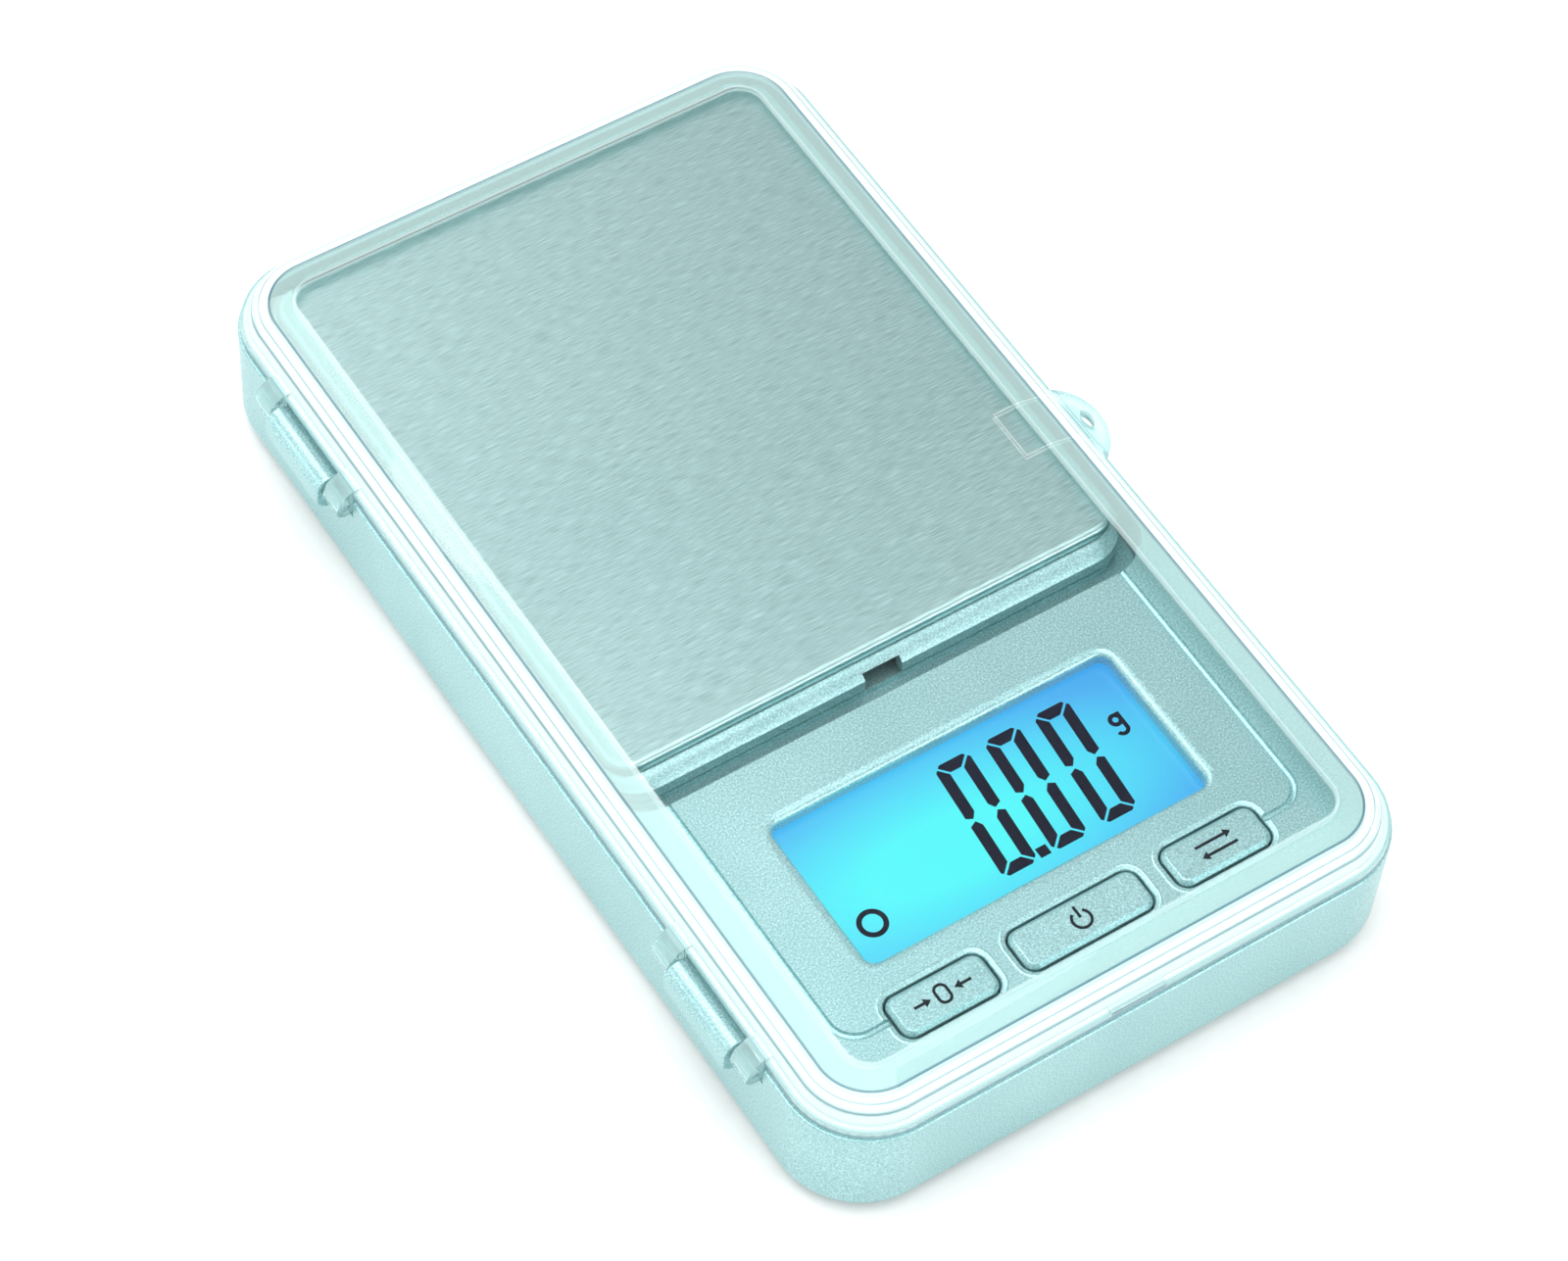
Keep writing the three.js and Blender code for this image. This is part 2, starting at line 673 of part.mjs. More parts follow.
// A conical coil that narrows towards +X.
class Coil extends THREE.Curve {
  getPoint(t, target = new THREE.Vector3()) {
    const angle = 2 * Math.PI * COIL.turns * t;
    const radius = COIL.wide - (COIL.wide - COIL.narrow) * t;
    return target.set(COIL.length * t, radius * Math.cos(angle), radius * Math.sin(angle));
  }
}

function contactSpring() {
  const wire = new THREE.Shape();
  wire.absarc(0, 0, COIL.wire, 0, 2 * Math.PI);
  const options = { steps: 28, curveSegments: 3, bevelEnabled: false, extrudePath: new Coil() };
  return solid(new THREE.ExtrudeGeometry(wire, options));
}

// ---------- assembly ----------
function flatBlock({ halfX, front, back, bottom, top }) {
  return block(-halfX, halfX, front, back, bottom, top);
}

function strainGauge(bottom) {
  return block(-GAUGE.halfX, GAUGE.halfX, GAUGE.front, GAUGE.back, bottom, bottom + GAUGE.thickness);
}

const casing = group(
  mesh("bottom_case", bottomCase(), silverPlastic()),
  mesh("top_case", topCase(), silverPlastic()),
  hingePin("hinge_pin_front", -HINGE.y),
  hingePin("hinge_pin_rear", HINGE.y),
  ...CASE_SCREWS.map(([name, x, y]) => mesh(name, screw(CASE_SCREW), platedSteel(), [x, y, CASE_SCREW.z])),
  ...footPlaces().map(([x, y]) => {
    const name = `foot_${y < 0 ? "front" : "rear"}_${x < 0 ? "left" : "right"}`;
    return mesh(name, foot(), blackRubber(), [x, y, 0]);
  }),
);

const weighing = group(
  mesh("load_cell", loadCell(), aluminium()),
  mesh("strain_gauge_top", strainGauge(CELL.top + GAUGE.gap), whitePlastic()),
  mesh(
    "strain_gauge_bottom",
    strainGauge(CELL.bottom - GAUGE.gap - GAUGE.thickness),
    whitePlastic(),
  ),
  ...CELL_MOUNT_Y.map((y, i) =>
    mesh(`cell_mount_screw_${i + 1}`, screw(CELL_SCREW), platedSteel(), [0, y, CELL_SCREW.z]),
  ),
);

const display = group(
  mesh("main_board", mainBoard(), circuitBoard()),
  mesh("controller_chip", flatBlock(CHIP), blackPlastic()),
  mesh("lcd_frame", lcdFrame(), whitePlastic()),
  mesh("backlight_panel", flatBlock(BACKLIGHT), material("#a9e6f5", 0.4)),
  mesh("lcd_connector_strip", flatBlock(CONNECTOR), blackRubber()),
  mesh("lcd_glass", flatBlock(GLASS), material("#35d6ff", 0.12)),
  ...[-1, 1].map((side) =>
    mesh(
      side < 0 ? "board_screw_left" : "board_screw_right",
      screw(BOARD_SCREW_SIZE),
      platedSteel(),
      [side * BOARD_SCREW.x, BOARD_SCREW.y, BOARD.bottom - GAP - BOARD_SCREW_SIZE.headHeight],
    ),
  ),
  ...BUTTONS.map(({ name, x }) =>
    mesh(`switch_${name.split("_")[1]}`, tactSwitch(), blackPlastic(), [x, BUTTON.y, BOARD.top]),
  ),
);

const wallX = BAY.halfX - BAY.wall;
const plateX = wallX - GAP;
const springX = COIL.length + 2 * COIL.wire + BATTERY.length / 2;

// A contact plate standing against the bay's left wall (side -1) or right wall (side 1).
function contactPlate(side, front, back) {
  const [x0, x1] = [side * plateX, side * (plateX - CONTACT.thickness)].sort((a, b) => a - b);
  return block(x0, x1, front, back, CONTACT.bottom, CONTACT.top);
}

const power = group(
  mesh("battery_front", battery(), material("#3c4a55", 0.4), [0, BATTERY_Y[0], BATTERY.z]),
  mesh("battery_rear", battery().rotate([0, 0, 180]), material("#3c4a55", 0.4), [
    0,
    BATTERY_Y[1],
    BATTERY.z,
  ]),
  mesh("contact_bridge", contactPlate(1, 34, 51), platedSteel()),
  mesh("contact_plate_front", contactPlate(-1, 34, 40.5), platedSteel()),
  mesh("contact_plate_rear", contactPlate(-1, 44.5, 51), platedSteel()),
  mesh("contact_spring_front", contactSpring(), platedSteel(), [-springX, BATTERY_Y[0], BATTERY.z]),
  mesh("contact_spring_rear", contactSpring().rotate([0, 0, 180]), platedSteel(), [
    springX,
    BATTERY_Y[1],
    BATTERY.z,
  ]),
);

const lid = group(mesh("lid", clearLid(), clearPlastic()));

const platform = group(
  mesh("weighing_tray", weighingTray(), brushedSteel()),
  mesh("pan_carrier", panCarrier(), silverPlastic()),
  ...CELL_LOAD_Y.map((y, i) =>
    mesh(`carrier_screw_${i + 1}`, screw(CELL_SCREW), platedSteel(), [
      0,
      y,
      CELL.bottom - GAP - CELL_SCREW.headHeight,
    ]),
  ),
);

const buttons = group(
  ...BUTTONS.map(({ name, x, halfX }) =>
    mesh(name, buttonCap(halfX), silverPlastic(), [x, BUTTON.y, 0]),
  ),
);

const scale = group(
  casing,
  weighing,
  display,
  power,
  platform,
  buttons,
  mesh("battery_door", batteryDoor(), silverPlastic()),
  lid,
);

export default scale;
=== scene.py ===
import math

import bmesh
import bpy
from mathutils import Matrix, Vector


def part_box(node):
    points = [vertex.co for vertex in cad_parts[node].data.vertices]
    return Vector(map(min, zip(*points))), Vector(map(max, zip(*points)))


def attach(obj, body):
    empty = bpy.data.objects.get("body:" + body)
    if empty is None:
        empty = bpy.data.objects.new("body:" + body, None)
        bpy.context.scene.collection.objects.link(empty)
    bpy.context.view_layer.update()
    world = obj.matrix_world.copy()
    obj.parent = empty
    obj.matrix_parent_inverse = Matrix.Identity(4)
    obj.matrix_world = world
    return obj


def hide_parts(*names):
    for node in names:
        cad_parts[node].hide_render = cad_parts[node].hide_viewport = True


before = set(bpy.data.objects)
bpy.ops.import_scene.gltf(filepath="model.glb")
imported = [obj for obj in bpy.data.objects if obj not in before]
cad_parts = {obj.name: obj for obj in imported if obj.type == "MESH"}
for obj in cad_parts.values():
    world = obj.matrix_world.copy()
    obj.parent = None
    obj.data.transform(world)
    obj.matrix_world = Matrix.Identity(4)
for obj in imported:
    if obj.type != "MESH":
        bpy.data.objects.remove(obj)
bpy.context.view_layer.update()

# A pocket gram scale: a silver case with a steel weighing tray at one end, a lit display and
# three buttons at the other, and a clear lid hinged on the left side.
# Shapes are made in millimetres and brought to metres when they are finished.

MM = 0.001
ARC = 12  # steps round each rounded corner
BEYOND = 4  # how far a cutting shape runs past the surface it opens
GAP = 0.3  # clearance between pieces that slide or touch
MERGE = 1e-4  # points nearer than this become one


class Space:
    """Where a CAD node lies, in millimetres."""

    def __init__(self, node):
        low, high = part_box(node)
        self.low = Vector(low) / MM
        self.high = Vector(high) / MM
        self.centre = (self.low + self.high) / 2
        self.half = (self.high - self.low) / 2


CASE = Space("bottom_case")
DECK = Space("top_case")
LID = Space("lid")
TRAY = Space("weighing_tray")
CARRIER = Space("pan_carrier")
PANEL = Space("lcd_glass")
DOOR = Space("battery_door")
BUTTONS = {side: Space(f"button_{side}") for side in ("left", "centre", "right")}

CASE_CORNER = 9
CASE_RIM = 14.2
CASE_FLOOR = 2.7
CASE_WALL = 1.4
SUNK = CASE_FLOOR - 0.2  # where the walls and posts on the floor start
BAY = dict(half_x=25.6, front=30.3, wall=1, top=8.7)  # the batteries' bay
DOORWAY_HALF_X = DOOR.half.x - 0.6
SCREW_PLACES = [(x, y) for x in (-29.3, 29.3) for y in (-40, 24)]
CELL_SCREWS_Y = (-11.7, -5.7)  # between the load cell and the case
CARRIER_SCREWS_Y = (18.5, 24.5)  # between the load cell and the carrier
BOARD_SCREWS = [(-24.2, -54), (24.2, -54)]
FEET = ("front_left", "front_right", "rear_left", "rear_right")

DECK_CORNER = 7.3
DECK_TOP = 15
DECK_UNDERSIDE = 13.4
WELL = dict(half_x=32, half_y=37.75, corner=5.5, centre=(0, 19.65))
WELL_FRONT = -19.3
WINDOW = dict(half_x=20, half_y=9.05, corner=1.2, centre=(0, -34.25))
HUMP_CENTRE = (0, 42.4)  # the raised floor over the batteries
BUTTON_HALF_Y = 2.65
BUTTON_CORNER = 1.6
BUTTON_GAP = 0.25

LID_HALF_X = 34.3
LID_CORNER = 8.7
LID_RIM = 14.5
LID_LEAN = 0.9  # the front and back bands are a little narrower than the side bands
HINGE_X = -35.2
HINGE_Z = 13.2
PIN_BORE = 0.65
BARREL = 1.6
BARREL_HALF = 5.3
BARREL_Y = (-38.4, 38.4)
LUG_LENGTH = 2.9
LUG_RADIUS = 1.1
LUG_REACH = BARREL_HALF + GAP
LUG_FRONTS = [front for y in BARREL_Y for front in (y - LUG_REACH - LUG_LENGTH, y + LUG_REACH)]
TAB_RADIUS = 6.25
TAB_Y = -0.6
EYE_RADIUS = 2
EYE_X = (33.7, 36.7)


# ---------- making meshes ----------
def fresh(bm, name):
    """Puts a bmesh into a new object, its faces turned outwards."""
    bmesh.ops.recalc_face_normals(bm, faces=bm.faces)
    if bm.calc_volume(signed=True) < 0:
        bmesh.ops.reverse_faces(bm, faces=bm.faces)
    mesh = bpy.data.meshes.new(name)
    bm.to_mesh(mesh)
    bm.free()
    shape = bpy.data.objects.new(name, mesh)
    bpy.context.scene.collection.objects.link(shape)
    return shape


def verts_of(elements):
    """The corner points among what an operator has made."""
    return [item for item in elements if isinstance(item, bmesh.types.BMVert)]


def loft(half_x, half_y, corner, levels, centre=(0, 0), ring=False):
    """A closed skin through rounded rectangles. A level is (z, inset), or (z, inset along X, inset
    along Y). A ring has no end faces: its last level joins its first."""
    bm = bmesh.new()
    bmesh.ops.create_grid(bm, x_segments=1, y_segments=1, size=1)
    bmesh.ops.scale(bm, verts=bm.verts, vec=(half_x, half_y, 1))
    bmesh.ops.bevel(
        bm,
        geom=bm.verts[:],
        offset=corner,
        affect="VERTICES",
        segments=ARC,
        profile=0.5,
        material=-1,
    )
    heart = Vector((half_x - corner, half_y - corner, 0))
    directions = {}
    for vert in bm.verts:
        side = Vector((math.copysign(1, vert.co.x), math.copysign(1, vert.co.y), 0))
        directions[vert] = (side, (vert.co - side * heart) / corner)

    def settle(level):
        """Sets the newest rim at its level."""
        z, inset, *along = level
        inset_y = along[0] if along else inset
        turn = max(corner - (inset + inset_y) / 2, 0.05)
        for vert, (side, outward) in directions.items():
            x = side.x * (half_x - inset - turn) + outward.x * turn
            y = side.y * (half_y - inset_y - turn) + outward.y * turn
            vert.co = (centre[0] + x, centre[1] + y, z)

    edges = bm.edges[:]
    settle(levels[0])
    if ring:
        bmesh.ops.delete(bm, geom=bm.faces[:], context="FACES_ONLY")
    for level in [*levels[1:], *levels[: 1 if ring else 0]]:
        grown = bmesh.ops.extrude_edge_only(bm, edges=edges)["geom"]
        carried = {}
        for vert in verts_of(grown):
            neighbours = [edge.other_vert(vert) for edge in vert.link_edges]
            carried[vert] = next(directions[old] for old in neighbours if old in directions)
        directions = carried
        new_edges = [item for item in grown if isinstance(item, bmesh.types.BMEdge)]
        edges = [edge for edge in new_edges if all(vert in directions for vert in edge.verts)]
        settle(level)
    if ring:
        bmesh.ops.remove_doubles(bm, verts=bm.verts, dist=MERGE)
    else:
        bmesh.ops.contextual_create(bm, geom=edges)
    return fresh(bm, "loft")


def rounding(z_from, inset_from, z_to, inset_to, steps, upright_first=True):
    """Levels along a quarter ellipse, which leaves the first level upright or lying flat."""
    levels = []
    for i in range(steps + 1):
        angle = math.radians(90) * i / steps
        rise, run = math.sin(angle), 1 - math.cos(angle)
        if not upright_first:
            rise, run = run, rise
        z = z_from + (z_to - z_from) * rise
        levels.append((z, inset_from + (inset_to - inset_from) * run))
    return levels


def prism_along_y(outline, y0, y1):
    """An outline of (x, z) points given thickness along Y."""
    bm = bmesh.new()
    face = bm.faces.new([bm.verts.new((x, y0, z)) for x, z in outline])
    grown = bmesh.ops.extrude_face_region(bm, geom=[face])["geom"]
    bmesh.ops.translate(bm, verts=verts_of(grown), vec=(0, y1 - y0, 0))
    return fresh(bm, "prism")


def block(x0, x1, y0, y1, z0, z1, edge=0.0):
    """A box between two corners, its edges eased by a small bevel."""
    bm = bmesh.new()
    bmesh.ops.create_cube(bm, size=1)
    bmesh.ops.scale(bm, verts=bm.verts, vec=(x1 - x0, y1 - y0, z1 - z0))
    bmesh.ops.translate(bm, verts=bm.verts, vec=((x0 + x1) / 2, (y0 + y1) / 2, (z0 + z1) / 2))
    if edge:
        bmesh.ops.bevel(
            bm, geom=bm.edges[:], offset=edge, affect="EDGES", segments=3, profile=0.5, material=-1
        )
    return fresh(bm, "block")


def turned(profile, centre, steps, along_y=False):
    """A profile of (radius, height) spun once round an upright axis, or round one along Y."""
    bm = bmesh.new()
    points = [bm.verts.new((radius, 0, height)) for radius, height in profile]
    edges = [bm.edges.new(pair) for pair in zip(points, points[1:])]
    bmesh.ops.spin(
        bm,
        geom=points + edges,
        cent=(0, 0, 0),
        axis=(0, 0, 1),
        angle=math.tau,
        steps=steps,
        use_merge=True,
    )
    bmesh.ops.remove_doubles(bm, verts=bm.verts, dist=MERGE)
    laid = Matrix.Rotation(math.radians(-90), 4, "X") if along_y else Matrix()
    bmesh.ops.transform(bm, matrix=Matrix.Translation(centre) @ laid, verts=bm.verts)
    return fresh(bm, "turned")


def rod(x, y, radius, z0, z1, steps=36):
    return turned([(0, z0), (radius, z0), (radius, z1), (0, z1)], (x, y, 0), steps)


def rod_along_y(x, z, radius, y0, y1, steps):
    return turned([(0, y0), (radius, y0), (radius, y1), (0, y1)], (x, 0, z), steps, along_y=True)


def gather(shapes):
    """Several separate shapes as one object."""
    bm = bmesh.new()
    for shape in shapes:
        bm.from_mesh(shape.data)
        bpy.data.objects.remove(shape)
    return fresh(bm, "gathered")


def worked(body, operation, tools):
    """Joins shapes to a body, or cuts them out of it, one after another."""
    for tool in tools:
        step = body.modifiers.new("work", "BOOLEAN")
        step.operation = operation
        step.solver = "EXACT"
        step.object = tool
        applied(body)
        bpy.data.objects.remove(tool)
    return body


def joined(body, *tools):
    return worked(body, "UNION", tools)


def cut(body, *tools):
    return worked(body, "DIFFERENCE", tools)


def kept_inside(body, *tools):
    return worked(body, "INTERSECT", tools)


def applied(shape):
    """Makes a shape's modifiers part of its mesh."""
    bpy.context.view_layer.update()
    seen = shape.evaluated_get(bpy.context.evaluated_depsgraph_get())
    mesh = bpy.data.meshes.new_from_object(seen)
    shape.modifiers.clear()
    old = shape.data
    shape.data = mesh
    bpy.data.meshes.remove(old)
    return shape


def finish_piece(shape, name, material, body, stands_for=(), crease=32):
    """Names a shape, shades it, brings it to metres and sets it on its body."""
    shape.name = name
    shape.data.transform(Matrix.Scale(MM, 4))
    for face in shape.data.polygons:
        face.use_smooth = True
    shape.data.set_sharp_from_angle(angle=math.radians(crease))
    even = shape.modifiers.new("even shading", "WEIGHTED_NORMAL")
    even.keep_sharp = True
    even.weight = 80
    applied(shape)
    shape.data.name = name
    shape.data.materials.clear()
    shape.data.materials.append(material)
    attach(shape, body)
    if stands_for:
        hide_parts(*stands_for)
    return shape


# ---------- making materials ----------
def colour(code, alpha=1.0):
    """An sRGB hex code as linear colour."""
    parts = [int(code[i : i + 2], 16) / 255 for i in (1, 3, 5)]
    linear = [p / 12.92 if p <= 0.04045 else ((p + 0.055) / 1.055) ** 2.4 for p in parts]
    return (*linear, alpha)


def add(material, kind, inputs=None, **settings):
    """Adds a node. An input that is another node's socket is linked, any other is set."""
    tree = material.node_tree
    node = tree.nodes.new(kind)
    for key, value in settings.items():
        setattr(node, key, value)
    for key, value in (inputs or {}).items():
        if isinstance(value, bpy.types.NodeSocket):
            tree.links.new(value, node.inputs[key])
        else:
            node.inputs[key].default_value = value
    return node


def blank(name):
    material = bpy.data.materials.new(name)
    material.use_nodes = True
    material.node_tree.nodes.clear()
    return material


def per_metre(size_mm):
    """The texture scale that gives features of this size."""
    return 1 / (size_mm * MM)


def surface(material, shader):
    """Closes a material with the shader that its outside shows."""
    add(material, "ShaderNodeOutputMaterial", {"Surface": shader})
    return material


def principled(material, inputs):
    """Closes a material with one Principled surface."""
    return surface(material, add(material, "ShaderNodeBsdfPrincipled", inputs).outputs["BSDF"])


def coordinates(material, stretch=(1, 1, 1)):
    """Object coordinates, stretched along the axes where a pattern runs one way."""
    where = add(material, "ShaderNodeTexCoord").outputs["Object"]
    return add(material, "ShaderNodeMapping", {"Vector": where, "Scale": stretch}).outputs["Vector"]


def speckle(material, size_mm, vector, detail=2.0):
    noise = {"Vector": vector, "Scale": per_metre(size_mm), "Detail": detail, "Roughness": 0.6}
    return add(material, "ShaderNodeTexNoise", noise).outputs["Fac"]


def ramp_through(material, factor, stops):
    """A ramp through (position, colour code, alpha)."""
    ramp = add(material, "ShaderNodeValToRGB", {"Fac": factor})
    elements = ramp.color_ramp.elements
    for position, *_ in stops[1:-1]:
        elements.new(position)
    elements[0].position, elements[-1].position = stops[0][0], stops[-1][0]
    for element, (_, code, alpha) in zip(elements, stops):
        element.color = colour(code, alpha)
    return ramp.outputs


def shades(material, factor, stops):
    """A colour ramp through (position, colour code)."""
    opaque = [(position, code, 1.0) for position, code in stops]
    return ramp_through(material, factor, opaque)["Color"]


def multiplied(material, base, tone):
    inputs = {"Factor": 1.0, "A": base, "B": tone}
    return add(
        material, "ShaderNodeMix", inputs, data_type="RGBA", blend_type="MULTIPLY"
    ).outputs["Result"]


def maths(material, operation, *values):
    node = add(material, "ShaderNodeMath", dict(enumerate(values)), operation=operation)
    return node.outputs["Value"]


def vector_maths(material, operation, *values):
    node = add(material, "ShaderNodeVectorMath", dict(enumerate(values)), operation=operation)
    return node.outputs["Value" if operation in ("LENGTH", "DISTANCE") else "Vector"]


def mapped(material, value, low, high, to_low=0.0, to_high=1.0, **settings):
    """A value carried from one span to another, and held at the ends."""
    inputs = {
        "Value": value,
        "From Min": low,
        "From Max": high,
        "To Min": to_low,
        "To Max": to_high,
    }
    return add(material, "ShaderNodeMapRange", inputs, **settings).outputs["Result"]


def levels_of(material, factor, low, high):
    """A factor from 0 to 1 spread between two values."""
    return mapped(material, factor, 0.0, 1.0, low, high)


def bumped(material, height, distance_mm, strength):
    inputs = {"Height": height, "Distance": distance_mm * MM, "Strength": strength}
    return add(material, "ShaderNodeBump", inputs).outputs["Normal"]


# ---------- finishes ----------
def silver_painted_abs():
    """Moulded ABS sprayed with fine silver: a pale aqua grey that sparkles faintly in grains."""
    m = blank("silver_painted_abs")
    where = coordinates(m)
    # Flakes of 0.02 mm are drawn 0.2 mm across, so that they show.
    flakes = speckle(m, 0.2, where)
    clouds = speckle(m, 14, where)
    grain = shades(m, flakes, [(0.32, "#88B0B3"), (0.5, "#9FC7C9"), (0.68, "#BBE2E3")])
    tone = shades(m, clouds, [(0.35, "#F4F8F8"), (0.65, "#FFFFFF")])
    return principled(m, {
        "Base Color": multiplied(m, grain, tone),
        "Metallic": 0.68,
        "Roughness": levels_of(m, flakes, 0.26, 0.42),
        "Normal": bumped(m, flakes, 0.012, 0.5),
    })


def brushed_stainless():
    """Stainless sheet brushed across the tray: hairlines a few millimetres long in a soft sheen."""
    m = blank("brushed_stainless")
    # Hairlines are 0.05 mm wide and drawn 0.12 mm wide, about 2.5 mm long.
    hairs = speckle(m, 0.12, coordinates(m, (0.05, 1, 1)))
    broad = speckle(m, 30, coordinates(m, (0.5, 1, 1)), 1.0)
    base = shades(m, hairs, [(0.3, "#98B6B6"), (0.5, "#A9C8C8"), (0.7, "#BAD8D8")])
    tone = shades(m, broad, [(0.3, "#F8FAFA"), (0.7, "#FFFFFF")])
    return principled(m, {
        "Base Color": multiplied(m, base, tone),
        "Metallic": 1.0,
        "Roughness": levels_of(m, hairs, 0.26, 0.4),
        "Anisotropic": 0.6,
        "Tangent": add(m, "ShaderNodeCombineXYZ", {"X": 1.0}).outputs["Vector"],
        "Normal": bumped(m, hairs, 0.004, 0.5),
    })


# Painted light on the lid's plastic by the distance in from its outline: (millimetres, colour,
# milkiness). The pale mint-white bands are painted reflections and highlights on the walls and the
# sloping shoulder. The dark grey-blue narrow bands are painted dark lines of shade and dark
# reflection along the seam and the steps.
LID_PAINTED_BANDS = [
    (-0.5, "#C6EAEA", 0.30),
    (-0.02, "#C6EAEA", 0.30),
    (0.0, "#648D9A", 0.55),
    (0.04, "#648D9A", 0.50),
    (0.07, "#C6EAEA", 0.30),
    (0.35, "#C6EAEA", 0.28),
    (0.5, "#E8FDFC", 0.52),
    (1.15, "#E8FDFC", 0.54),
    (1.25, "#86AEB6", 0.38),
    (1.4, "#E8FDFC", 0.5),
    (1.9, "#F2FEFE", 0.56),
    (2.02, "#8FB8BE", 0.42),
    (2.15, "#F2FEFE", 0.58),
    (2.95, "#ECFBFA", 0.5),
    (3.06, "#55808E", 0.5),
    (3.2, "#658F9D", 0.44),
    (3.32, "#D2EEEC", 0.28),
    (5.55, "#D2EEEC", 0.24),
    (5.68, "#E6FAFA", 0.36),
    (5.84, "#E6FAFA", 0.3),
    (6.0, "#FFFFFF", 0.0),
]
BANDS_START = LID_PAINTED_BANDS[0][0]
BANDS_REACH = 10  # millimetres that the bands' ramp covers
# The rectangle engraved beside the finger tab is a thin milky line.
MARK_CENTRE = (31.6, 0, 0)
MARK_HALF = (6, 3, 0)
MARK_LINE = (0.05, 0.13)  # the line fades out between these distances from its middle
MARK_MILK = 0.2


def clear_polystyrene():
    """Moulded crystal polystyrene: clear on the flats, with painted mint-white reflections and
    highlights in the walls and the sloping shoulder, and painted dark lines along its steps."""
    m = blank("clear_polystyrene")
    where = add(m, "ShaderNodeTexCoord").outputs["Object"]
    in_mm = vector_maths(m, "MULTIPLY", where, (1 / MM, 1 / MM, 0))
    # How far inside the lid's outline, a rectangle with round corners, each spot lies.
    corner_heart = (LID_HALF_X - LID_CORNER, LID.high.y - LID_CORNER, 0)
    past = vector_maths(m, "SUBTRACT", vector_maths(m, "ABSOLUTE", in_mm), corner_heart)
    reach = vector_maths(m, "LENGTH", vector_maths(m, "MAXIMUM", past, (0, 0, 0)))
    rim = LID_CORNER - BANDS_START
    inward = mapped(m, reach, rim, rim - BANDS_REACH)
    # The ramp paints the bands' reflections, highlights and dark lines into the lid's colour and
    # milkiness.
    painted_bands = ramp_through(m, inward, [
        ((at - BANDS_START) / BANDS_REACH, code, 1 - milk) for at, code, milk in LID_PAINTED_BANDS
    ])
    from_mark = vector_maths(m, "ABSOLUTE", vector_maths(m, "SUBTRACT", in_mm, MARK_CENTRE))
    past_mark = vector_maths(m, "SUBTRACT", from_mark, MARK_HALF)
    sides = add(m, "ShaderNodeSeparateXYZ", {"Vector": past_mark}).outputs
    off_line = maths(m, "ABSOLUTE", maths(m, "MAXIMUM", sides["X"], sides["Y"]))
    clarity = maths(m, "SUBTRACT", painted_bands["Alpha"], mapped(m, off_line, *MARK_LINE, MARK_MILK, 0.0))
    flow = speckle(m, 16, where, 1.0)
    glass = add(m, "ShaderNodeBsdfPrincipled", {
        "Base Color": painted_bands["Color"],
        "Roughness": 0.02,
        "IOR": 1.49,
        "Transmission Weight": clarity,
        "Normal": bumped(m, flow, 0.02, 0.2),
    })
    let_through = levels_of(m, clarity, 0.5, 0.98)
    open_air = add(m, "ShaderNodeBsdfTransparent", {"Color": let_through})
    # Rays from the lamps and from the dull pieces below pass straight through the lid, a little
    # dimmed where it is milky.
    path = add(m, "ShaderNodeLightPath").outputs
    seen = add(m, "ShaderNodeMixShader", {
        0: path["Is Diffuse Ray"], 1: glass.outputs["BSDF"], 2: open_air.outputs["BSDF"],
    })
    whole = add(m, "ShaderNodeMixShader", {
        0: path["Is Shadow Ray"], 1: seen.outputs["Shader"], 2: open_air.outputs["BSDF"],
    })
    return surface(m, whole.outputs["Shader"])


def plated_steel():
    """Nickel plated steel: a smooth grey mirror with faint drawing marks."""
    m = blank("plated_steel")
    marks = speckle(m, 0.3, coordinates(m, (1, 0.2, 1)))
    base = shades(m, marks, [(0.3, "#B9BCC0"), (0.7, "#D2D5D8")])
    return principled(m, {
        "Base Color": base,
        "Metallic": 1.0,
        "Roughness": levels_of(m, marks, 0.16, 0.3),
    })


def milled_aluminium():
    """Milled aluminium bar: pale metal with fine cutter lines across it."""
    m = blank("milled_aluminium")
    lines = speckle(m, 0.25, coordinates(m, (0.1, 1, 1)))
    return principled(m, {
        "Base Color": shades(m, lines, [(0.3, "#C4C7CA"), (0.7, "#D9DBDD")]),
        "Metallic": 1.0,
        "Roughness": levels_of(m, lines, 0.3, 0.45),
        "Normal": bumped(m, lines, 0.01, 0.4),
    })


def moulded(name, dark, light, rough, grain_mm=0.35):
    """Plain moulded plastic or rubber: one colour, a fine texture from the mould."""
    m = blank(name)
    grain = speckle(m, grain_mm, coordinates(m))
    return principled(m, {
        "Base Color": shades(m, grain, [(0.35, dark), (0.65, light)]),
        "Roughness": levels_of(m, grain, rough - 0.06, rough + 0.06),
        "Normal": bumped(m, grain, 0.02, 0.3),
    })


